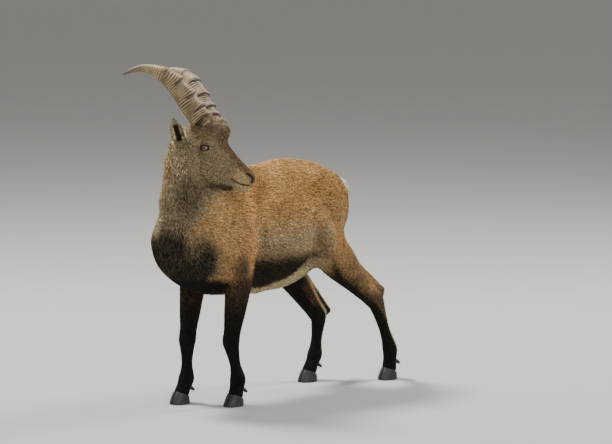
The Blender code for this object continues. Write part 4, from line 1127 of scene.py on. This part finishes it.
def dressed_skin():
    """The skin in the model's frame, with its markings kept as attributes of its points and its hair fields
    returned beside it.
    """
    body = build_skin()
    mesh = body.data
    points, normals, edges = points_of(mesh), normals_of(mesh), edges_of(mesh)
    share, place, lie = part_fields(points)
    ears = []
    for sign in (1, -1):
        _, _, ear, axis, _ = ear_fields(points, sign)
        ears.append(ear)
        lie = lie + ear[:, None] * (axis - lie)
    length, width, depth, density = coat_fields(points, share, place, ears)
    ear = np.clip(sum(ears), 0, 1)
    marks_one, marks_two = markings(points, normals, share)
    bare = marks_two[:, 1] * (1 - ear)
    smooth_depth = averaged(np.column_stack([depth * (1 - bare)]), edges)[:, 0]
    points = points - normals * (smooth_depth * 0.92)[:, None]
    points = open_lids(points)
    mask = share["head"] * (1 - ear)
    points = face_relief(points, normals, mask)
    place_points(mesh, points)
    normals = normals_of(mesh)
    soft = relaxed(normals, edges, 0.5, 3)
    soft /= norms(soft)
    lie = lie - soft * (lie * soft).sum(1, keepdims=True)
    lie /= norms(lie)
    a, b = edges
    span = points[b] - points[a]
    bend = ((soft[b] - soft[a]) * span).sum(1) / (span**2).sum(1)
    curve = np.zeros((len(points), 2))
    for start in (a, b):
        weight = ((span * lie[start]).sum(1)) ** 2 / (span**2).sum(1)
        curve[:, 0] += np.bincount(start, weight * bend, len(points))
        curve[:, 1] += np.bincount(start, weight, len(points))
    curve = np.clip(curve[:, 0] / np.maximum(curve[:, 1], 1e-6), -25, 25)
    place_points(mesh, points + SHIFT)
    mesh.shade_smooth()
    add_marks(mesh, "marks_one", marks_one)
    add_marks(mesh, "marks_two", marks_two)
    add_marks(mesh, "strand", np.tile((0.45, 0.0, 0.0, 0.0), (len(points), 1)))
    fields = {"normal": soft, "lie": lie, "curve": curve, "length": length, "width": width,
              "depth": depth, "density": density * (1 - step(bare, 0.25, 0.6)), "one": marks_one,
              "two": marks_two, "share": np.array([share[name] for name in PARTS]).T, "ear": ear,
              "place": np.array([place[name] for name in PARTS]).T, "points": points}
    return body, fields


def add_marks(mesh, name, rows):
    """Four numbers at every point, as a colour attribute."""
    attribute = mesh.attributes.new(name, "FLOAT_COLOR", "POINT")
    attribute.data.foreach_set("color", np.asarray(rows, np.float32).ravel())


def coat_pieces(part, points, ear):
    """Name, material slot and roots of each piece of the coat."""
    trunk, head = part == 0, (part == 2) & (ear < 0.5)
    flank = points[:, 1] >= 0.02
    left = points[:, 0] >= 0
    face = in_head(points)[:, 0] >= 0.03
    return [
        ("coat_chest", "body_coat", trunk & ~flank),
        ("coat_flank_left", "body_coat", trunk & flank & left),
        ("coat_flank_right", "body_coat", trunk & flank & ~left),
        ("coat_neck", "neck_coat", part == 1),
        ("coat_face", "head_coat", head & face),
        ("coat_poll", "head_coat", head & ~face),
        ("coat_ears", "ear_coat", ear >= 0.5),
        *(("coat_" + PARTS[k], "leg_coat", part == k) for k in (3, 4, 5, 6)),
        ("coat_tail", "tail_coat", part == 7),
    ]


def grown_roots(mesh, fields, random):
    """Roots spread over the skin: each triangle is drawn by its area times the density there,
    at even steps of the running sum, and a root lies at random inside its triangle.
    """
    mesh.calc_loop_triangles()
    corners = np.empty(len(mesh.loop_triangles) * 3, int)
    mesh.loop_triangles.foreach_get("vertices", corners)
    corners = corners.reshape(-1, 3)
    p = fields["points"][corners]
    area = norms(np.cross(p[:, 1] - p[:, 0], p[:, 2] - p[:, 0]))[:, 0] / 2
    running = np.cumsum(area * fields["density"][corners].mean(1))
    count = int(running[-1])
    drawn = np.searchsorted(running, (np.arange(count) + random.random(count)) * running[-1] / count)
    drawn = np.minimum(drawn, len(corners) - 1)
    u, v = np.sqrt(random.random(count)), random.random(count)
    weights = np.column_stack([1 - u, u * (1 - v), u * v])
    return {key: (values[corners[drawn]] * weights.reshape(-1, 3, *[1] * (values.ndim - 1))).sum(1)
            for key, values in fields.items()}


def tuft_mesh(name, roots, random, patch):
    """Tufts as closed slivers of five points: a sunk root, a left, right and top point where it is
    widest, and a tip. A place on it is root + lie * far + normal * (lift * rise - curve * far^2 / 2),
    so it follows the lie, bends with the skin and rises into the coat's depth.
    """
    count = len(roots["length"])
    normal = roots["normal"] / norms(roots["normal"])
    swing = random.normal(0, TUFT_SWING, count)[:, None]
    lie = roots["lie"] - normal * (roots["lie"] * normal).sum(1, keepdims=True)
    lie /= norms(lie)
    side = np.cross(normal, lie)
    lie, side = lie * np.cos(swing) + side * np.sin(swing), side * np.cos(swing) - lie * np.sin(swing)
    length = (roots["length"] * random.uniform(0.75, 1.2, count))[:, None]
    width = (roots["width"] * random.uniform(0.75, 1.2, count))[:, None]
    lift = (roots["depth"] * random.uniform(0.55, 1.0, count))[:, None]
    curve = roots["curve"][:, None]
    start = roots["points"]

    def at(share, rise):
        far = length * share
        return start + lie * far + normal * (lift * rise - curve * far**2 / 2)

    mid = at(TUFT_MIDDLE, 0.72)
    points = np.stack([start - normal * TUFT_ROOT, mid - side * width / 2, mid + side * width / 2,
                       mid + normal * width * 0.24, at(1.0, 0.92)], 1)
    pattern = np.array(((0, 1, 3), (0, 3, 2), (0, 2, 1), (4, 3, 1), (4, 2, 3), (4, 1, 2)))
    faces = (np.arange(count)[:, None, None] * 5 + pattern).reshape(-1, 3)
    mesh = bpy.data.meshes.new(name)
    mesh.vertices.add(count * 5)
    mesh.vertices.foreach_set("co", (points + SHIFT).ravel())
    mesh.loops.add(len(faces) * 3)
    mesh.loops.foreach_set("vertex_index", faces.ravel().astype(np.int32))
    mesh.polygons.add(len(faces))
    mesh.polygons.foreach_set("loop_start", np.arange(len(faces), dtype=np.int32) * 3)
    mesh.update(calc_edges=True)
    mesh.shade_smooth()
    add_marks(mesh, "marks_one", np.repeat(roots["one"], 5, 0))
    add_marks(mesh, "marks_two", np.repeat(roots["two"], 5, 0))
    tone = np.repeat(random.random(count), 5)
    climb = np.tile((0.0, 0.45, 0.45, 0.5, 1.0), count)
    add_marks(mesh, "strand", np.column_stack([tone, climb, tone * 0, tone * 0]))
    corner = np.array(((0.0, -0.5), (-0.5, 0.0), (0.5, 0.0), (0.0, 0.1), (0.0, 0.5))) * BAKE_PATCH
    flat = (patch[:, None] + corner[pattern.ravel()]).reshape(-1)
    layer = mesh.uv_layers.new(name="OFBake")
    layer.data.foreach_set("uv", flat.astype(np.float32))
    return mesh


def unwrapped(roots, part):
    """The skin's own unwrap: a column for each part, its place along across the column and the
    angle round its spine up it.
    """
    share = np.take_along_axis(roots["place"], part[:, None], 1)[:, 0]
    parts = spines()
    x, y, z = (roots["points"] - np.array([parts[name][0].mean(0) for name in PARTS])[part]).T
    turn = np.where(part == 0, np.arctan2(x, z), np.arctan2(x, y))
    used = np.unique(part)
    column = np.searchsorted(used, part)
    u = (column + 0.02 + 0.96 * np.clip(share + roots["fine"], 0, 1)) / len(used)
    return np.column_stack([u, 0.01 + 0.98 * (turn / (2 * math.pi) + 0.5)])


class Value:
    """A socket of a finish. Sums and products with numbers or other values add Math nodes."""

    def __init__(self, finish, socket):
        self.finish = finish
        self.socket = socket

    def math(self, operation, *inputs):
        return self.finish.node("ShaderNodeMath", {"operation": operation}, dict(enumerate(inputs)))

    def __add__(self, other):
        return self.math("ADD", self, other)

    def __sub__(self, other):
        return self.math("SUBTRACT", self, other)

    def __rsub__(self, other):
        return self.math("SUBTRACT", other, self)

    def __mul__(self, other):
        return self.math("MULTIPLY", self, other)

    __radd__ = __add__
    __rmul__ = __mul__

    def between(self, low, high):
        """0 below low, 1 above high and a smooth step between."""
        return self.finish.node("ShaderNodeMapRange", {"interpolation_type": "SMOOTHSTEP"},
                                {0: self, 1: low, 2: high, 3: 0.0, 4: 1.0})


class Finish:
    """A material whose surface is worked out with values."""

    def __init__(self, name):
        self.material = bpy.data.materials.new(name)
        self.material.use_nodes = True
        self.tree = self.material.node_tree
        self.shader = self.tree.nodes["Principled BSDF"]

    def node(self, kind, settings=None, inputs=None, output=0):
        made = self.tree.nodes.new(kind)
        for key, value in (settings or {}).items():
            setattr(made, key, value)
        for key, value in (inputs or {}).items():
            self.put(made.inputs[key], value)
        return Value(self, made.outputs[output])

    def put(self, socket, value):
        if isinstance(value, Value):
            self.tree.links.new(value.socket, socket)
        elif isinstance(value, (tuple, list)) and len(value) == 3 and socket.type == "RGBA":
            socket.default_value = (*value, 1)
        else:
            socket.default_value = value

    def set(self, **sockets):
        for key, value in sockets.items():
            self.put(self.shader.inputs[key.replace("_", " ")], value)

    def place(self):
        return self.node("ShaderNodeTexCoord", output="Object")

    def noise(self, scale, detail=2.0, stretch=None):
        where = self.place()
        if stretch:
            where = self.node("ShaderNodeVectorMath", {"operation": "MULTIPLY"}, {0: where, 1: stretch})
        return self.node("ShaderNodeTexNoise", None, {"Vector": where, "Scale": scale, "Detail": detail})

    def mix(self, share, first, second):
        return self.node("ShaderNodeMix", {"data_type": "RGBA"}, {0: share, 6: first, 7: second}, 2)

    def scaled(self, colour, number):
        return self.node("ShaderNodeVectorMath", {"operation": "SCALE"}, {0: colour, 3: number})

    def marks(self, name):
        """The four numbers of a colour attribute."""
        made = self.node("ShaderNodeAttribute", {"attribute_name": name}, output="Color")
        parts = self.node("ShaderNodeSeparateColor", None, {0: made})
        outputs = parts.socket.node.outputs
        alpha = made.socket.node.outputs["Alpha"]
        return [Value(self, outputs[k]) for k in range(3)] + [Value(self, alpha)]

    def bump(self, height, distance, strength):
        return self.node("ShaderNodeBump", None,
                         {"Height": height, "Distance": distance, "Strength": strength})


def coat_finish(name, hair):
    """Hair and skin share it: two tans mixed by the markings and mottled.

    Each tuft has a tone of its own and lightens towards its tip.
    """
    colours = bpy.context.scene.ibex_colours
    finish = Finish(name)
    rust, grey, dark, cream = finish.marks("marks_one")
    white, bare, brown, _ = finish.marks("marks_two")
    tone, climb, _, _ = finish.marks("strand")
    broad, close = finish.noise(9.0, 3.0), finish.noise(70.0, 3.0)
    wander = (close - 0.5) * 0.5 + (broad - 0.5) * 0.5
    if hair:
        wander = wander + (tone - 0.5) * 0.55
    colour = finish.mix(broad.between(0.35, 0.65), tuple(colours.tan), tuple(colours.flank))
    for share, other in ((rust, colours.rust), (grey, colours.grizzle), (brown, colours.brown),
                         (dark, colours.dark), (cream, colours.cream), (white, colours.white)):
        edged = (share + wander * (share * (1 - share) * 4)).between(0.05, 0.95)
        colour = finish.mix(edged, colour, tuple(other))
    speckle = finish.noise(210.0, 2.0).between(0.28, 0.72)
    if hair:
        light = (0.34 + 0.72 * tone + 0.30 * climb) * (0.52 + 0.86 * speckle)
    else:
        light = 0.42 + 0.45 * speckle
    colour = finish.scaled(colour, light)
    colour = finish.mix(bare.between(0.3, 0.7), colour, tuple(colours.bare))
    rough = 0.62 + 0.22 * close - 0.28 * bare.between(0.3, 0.7)
    finish.set(Base_Color=colour, Roughness=rough)
    if not hair:
        pores = finish.noise(900.0, 2.0)
        finish.set(Normal=finish.bump(pores + close * 2.0, 0.0008, 0.6))
    finish.shader.inputs["Specular IOR Level"].default_value = 0.12
    return finish.material


def horn_finish():
    """Straw horn, with painted shade in the grooves and under the knobs, lit and shaded horn colours mixed in
    patches by a noise, dark towards the tip, with fine streaks along it.
    """
    colours = bpy.context.scene.ibex_colours
    finish = Finish("horn_sheath")
    groove, length, _, _ = finish.marks("marks_one")
    streak, lit_and_shaded_patches = finish.noise(160.0, 3.0, (1.0, 1.0, 0.35)), finish.noise(22.0, 3.0)
    # Lit and shaded copies of the horn colour, mixed in patches by a noise: painted light and painted shade.
    colour = finish.mix(lit_and_shaded_patches.between(0.35, 0.68), tuple(colours.horn_light), tuple(colours.horn_deep))
    colour = finish.mix(length.between(0.62, 1.0) * 0.9, colour, tuple(colours.horn_tip))
    # Painted shade in the grooves and under the knobs.
    shade = (groove + (streak - 0.5) * 0.4).between(0.08, 0.56)
    colour = finish.mix(shade, colour, tuple(colours.horn_groove_shade))
    colour = finish.scaled(colour, 0.6 + 0.8 * streak)
    finish.set(Base_Color=colour, Roughness=0.48 + 0.25 * streak,
               Normal=finish.bump(streak, 0.0010, 0.7))
    return finish.material


def eye_finish():
    """Amber iris with radial streaks, a level dark bar of a pupil and a dark rim."""
    colours = bpy.context.scene.ibex_colours
    finish = Finish("eye_wet")
    angle, pupil, _, _ = finish.marks("marks_one")
    streak = finish.noise(700.0, 2.0)
    colour = finish.mix(streak.between(0.3, 0.7), tuple(colours.iris), tuple(colours.iris_deep))
    colour = finish.mix(angle.between(0.46, 0.56), colour, tuple(colours.pupil))
    colour = finish.mix(pupil.between(1.15, 0.9), colour, tuple(colours.pupil))
    finish.set(Base_Color=colour, Roughness=0.08)
    finish.shader.inputs["Coat Weight"].default_value = 0.6
    return finish.material


def claw_finish():
    """Dark horn, paler and rougher where it wears at the sole."""
    colours = bpy.context.scene.ibex_colours
    finish = Finish("claw_horn")
    height = finish.node("ShaderNodeSeparateXYZ", None, {0: finish.place()}, 2)
    streak = finish.noise(240.0, 3.0, (1.0, 1.0, 0.25))
    worn = (1 - height.between(0.0, 0.016)) * streak.between(0.35, 0.7)
    colour = finish.mix(worn, tuple(colours.claw), tuple(colours.claw_worn))
    finish.set(Base_Color=colour, Roughness=0.42 + 0.3 * streak,
               Normal=finish.bump(streak, 0.0008, 0.6))
    return finish.material


def floor_finish():
    finish = Finish("floor")
    grain = finish.noise(6.0, 2.0)
    finish.set(Base_Color=finish.mix(grain, (0.36, 0.355, 0.34), (0.39, 0.385, 0.37)), Roughness=0.9)
    return finish.material


def metres(name, text, value, low=0.0, high=0.2):
    return FloatProperty(name=name, description=text, default=value, min=low, max=high,
                         precision=4, unit="LENGTH")


def tint(name, text, value):
    return FloatVectorProperty(name=name, description=text, default=value, size=3, min=0.0, max=1.0,
                               subtype="COLOR")


class IbexSizes(bpy.types.PropertyGroup):
    """Sizes of the coat and horns that a user would change."""

    trunk_hair: metres("Trunk hair", "Length of a tuft on the trunk", 0.026)
    neck_hair: metres("Neck hair", "Length of a tuft on the neck", 0.030)
    leg_hair: metres("Leg hair", "Length of a tuft at the top of a leg", 0.019)
    face_hair: metres("Face hair", "Length of a tuft on the face", 0.010)
    cover: FloatProperty(name="Cover", description="How many layers of tufts lie over the skin", default=3.0,
                         min=0.1, max=4.0)
    ring_spacing: metres("Ring spacing", "Distance between the growth rings of a horn", 0.0085)
    knob_share: FloatProperty(name="Knobs", description="Height of the horn's knobs as a share of their own",
                              default=1.0, min=0.0, max=1.5)
    seed: IntProperty(name="Seed", description="Number that starts the random draws of the coat",
                      default=7, min=0)


class IbexColours(bpy.types.PropertyGroup):
    """Colours of the coat, horns, eyes and hooves."""

    tan: tint("Tan", "Lighter hair of the back and flank", (0.54, 0.30, 0.105))
    flank: tint("Flank", "Deeper hair of the back and flank", (0.37, 0.195, 0.060))
    rust: tint("Rust", "Nape and rear edge of the thigh", (0.58, 0.30, 0.105))
    grizzle: tint("Grizzle", "Grey hair of the neck, cheeks and low flank", (0.33, 0.255, 0.150))
    brown: tint("Brown", "Bridge of the nose and forehead", (0.145, 0.090, 0.050))
    # Dark also paints shade: on the chest, throat and right hind leg, between chest and arm and under the
    # horns.
    dark: tint("Dark", "Legs, chest and flank band", (0.011, 0.009, 0.006))
    # Cream also paints the rim light on the chest's right front edge.
    cream: tint("Cream", "Belly, muzzle and eye ring", (0.56, 0.45, 0.24))
    white: tint("White", "Tail and rump", (0.86, 0.80, 0.68))
    # Bare skin also paints the shadow between the lips.
    bare: tint("Bare skin", "Lids, nostrils and lips", (0.018, 0.014, 0.012))
    horn_light: tint("Horn", "Lit ridges of the horns", (0.44, 0.32, 0.160))
    horn_deep: tint("Horn shade", "Deeper horn between", (0.22, 0.155, 0.078))
    # Painted shade in the grooves and under the knobs.
    horn_groove_shade: tint("Horn groove", "Grooves between the rings", (0.040, 0.028, 0.016))
    horn_tip: tint("Horn tip", "Worn tip of the horns", (0.050, 0.044, 0.034))
    iris: tint("Iris", "Amber of the iris", (0.17, 0.062, 0.018))
    iris_deep: tint("Iris shade", "Darker rays of the iris", (0.075, 0.026, 0.009))
    pupil: tint("Pupil", "Pupil and rim of the eye", (0.006, 0.005, 0.004))
    claw: tint("Claw", "Horn of the hooves", (0.013, 0.011, 0.009))
    claw_worn: tint("Worn claw", "Scuffed edge of the hooves", (0.055, 0.047, 0.037))


FLESH = ["torso", "neck", "head", "tail"] + [
    part + "_" + side for part in ("ear", "fore_upper", "fore_lower", "hind_upper", "hind_lower")
    for side, _ in SIDES]


def finished(made, material, slot, *nodes):
    """Gives a piece its finish, and lets it stand for its nodes of the solid model."""
    made.data.materials.clear()
    made.data.materials.append(material)
    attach(made, "root")
    if nodes:
        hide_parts(*nodes)
    return made


def smooth_mesh(points, faces, marks=()):
    """A smooth mesh in the model's frame. Marks are two numbers at every point."""
    mesh = in_order(points + SHIFT, faces)
    mesh.shade_smooth()
    if marks:
        add_marks(mesh, "marks_one", np.column_stack([*marks, marks[0] * 0, marks[0] * 0]))
    return mesh


class IBEX_OT_skin_and_coat(bpy.types.Operator):
    """Builds the one closed skin and grows the coat over it."""

    bl_idname = "ibex.skin_and_coat"
    bl_label = "Skin and coat"

    def execute(self, context):
        body, fields = dressed_skin()
        finished(body, coat_finish("short_skin", False), "body_coat", *FLESH)
        hair = coat_finish("hair", True)
        random = np.random.default_rng(context.scene.ibex_sizes.seed)
        roots = grown_roots(body.data, fields, random)
        part = roots["share"].argmax(1)
        roots["fine"] = random.uniform(-0.01, 0.01, len(part))
        patch = unwrapped(roots, part)
        for name, slot, mask in coat_pieces(part, roots["points"], roots["ear"]):
            if not mask.any():
                raise RuntimeError("no roots for " + name)
            some = {key: values[mask] for key, values in roots.items()}
            made = add_piece(name, tuft_mesh(name, some, random, patch[mask]))
            finished(made, hair, slot)
        return {"FINISHED"}


class IBEX_OT_horns(bpy.types.Operator):
    """Builds both horns with their knobs and rings."""

    bl_idname = "ibex.horns"
    bl_label = "Horns"

    def execute(self, context):
        material = horn_finish()
        for side, sign in SIDES:
            horn = add_piece("ridged_horn_" + side, smooth_mesh(*horn_form(sign)))
            finished(horn, material, "horn", "horn_" + side)
        return {"FINISHED"}


class IBEX_OT_eyes(bpy.types.Operator):
    """Builds both eyeballs."""

    bl_idname = "ibex.eyes"
    bl_label = "Eyes"

    def execute(self, context):
        material = eye_finish()
        for side, sign in SIDES:
            eye = add_piece("eyeball_" + side, smooth_mesh(*eye_form(sign)))
            finished(eye, material, "eye", "eye_" + side)
        return {"FINISHED"}


class IBEX_OT_hooves(bpy.types.Operator):
    """Builds the claws and dewclaws of all four feet."""

    bl_idname = "ibex.hooves"
    bl_label = "Hooves"

    def execute(self, context):
        material = claw_finish()
        for side, sign in SIDES:
            for limb, joints in (("fore", FORE_JOINTS[side]), ("hind", HIND_JOINTS[side])):
                for inner, turn in (("inner", -sign), ("outer", sign)):
                    for kind, form in (("claw", claw_form), ("dewclaw", dewclaw_form)):
                        node = "_".join((kind, limb, side, inner))
                        horny = add_piece("horny_" + node, smooth_mesh(*form(joints, turn)))
                        finished(horny, material, "claw", node)
        return {"FINISHED"}


class IBEX_OT_stage(bpy.types.Operator):
    """Builds the floor, the lights and the camera."""

    bl_idname = "ibex.stage"
    bl_label = "Stage"

    def execute(self, context):
        mesh = bpy.data.meshes.new("floor")
        mesh.from_pydata([(-60, -60, 0), (60, -60, 0), (60, 60, 0), (-60, 60, 0)], [], [(0, 1, 2, 3)])
        mesh.materials.append(floor_finish())
        add_piece("floor", mesh)
        world = bpy.data.worlds.new("studio")
        context.scene.world = world
        world.use_nodes = True
        world.node_tree.nodes["Background"].inputs["Color"].default_value = (1.0, 0.985, 0.96, 1)
        world.node_tree.nodes["Background"].inputs["Strength"].default_value = 0.52
        for name, place, aim, size, power in (
            ("key", (-2.6, -0.6, 5.4), (0, 0, 0.7), 1.4, 640),
            ("fill", (5.0, -2.4, 2.6), (0, 0, 0.6), 3.0, 190),
            ("rim", (1.2, 4.4, 3.8), (0, 0, 0.7), 1.8, 300),
        ):
            light = bpy.data.lights.new(name, "AREA")
            light.shape = "DISK"
            light.size = size
            light.energy = power
            lamp = add_piece(name, light)
            lamp.location = place
            lamp.rotation_euler = (Vector(aim) - Vector(place)).to_track_quat("-Z", "Y").to_euler()
        a, e = CAMERA_AZIMUTH, CAMERA_ELEVATION
        back = Vector((math.sin(a) * math.cos(e), -math.cos(a) * math.cos(e), math.sin(e)))
        camera = add_piece("camera", bpy.data.cameras.new("camera"))
        camera.data.lens = CAMERA_LENS
        camera.data.sensor_width = 36.0
        camera.data.clip_end = 300.0
        camera.location = Vector(CAMERA_TARGET) + back * CAMERA_DISTANCE
        camera.rotation_euler = (-back).to_track_quat("-Z", "Y").to_euler()
        context.scene.camera = camera
        return {"FINISHED"}


OPERATORS = (IBEX_OT_skin_and_coat, IBEX_OT_horns, IBEX_OT_eyes, IBEX_OT_hooves, IBEX_OT_stage)


class IBEX_PT_panel(bpy.types.Panel):
    """Lists the ibex's pieces with their sizes and colours."""

    bl_idname = "IBEX_PT_panel"
    bl_label = "Alpine ibex"
    bl_space_type = "VIEW_3D"
    bl_region_type = "UI"
    bl_category = "Ibex"

    def draw(self, context):
        layout = self.layout
        for operator in OPERATORS:
            layout.operator(operator.bl_idname)
        for group in (context.scene.ibex_sizes, context.scene.ibex_colours):
            column = layout.column()
            for name in group.__annotations__:
                column.prop(group, name)


CLASSES = (IbexSizes, IbexColours, *OPERATORS, IBEX_PT_panel)


def register():
    for one in CLASSES:
        bpy.utils.register_class(one)
    bpy.types.Scene.ibex_sizes = PointerProperty(type=IbexSizes)
    bpy.types.Scene.ibex_colours = PointerProperty(type=IbexColours)


def unregister():
    del bpy.types.Scene.ibex_colours
    del bpy.types.Scene.ibex_sizes
    for one in reversed(CLASSES):
        bpy.utils.unregister_class(one)


def main():
    register()
    bpy.ops.ibex.skin_and_coat()
    bpy.ops.ibex.horns()
    bpy.ops.ibex.eyes()
    bpy.ops.ibex.hooves()
    bpy.ops.ibex.stage()


if __name__ == "__main__":
    main()
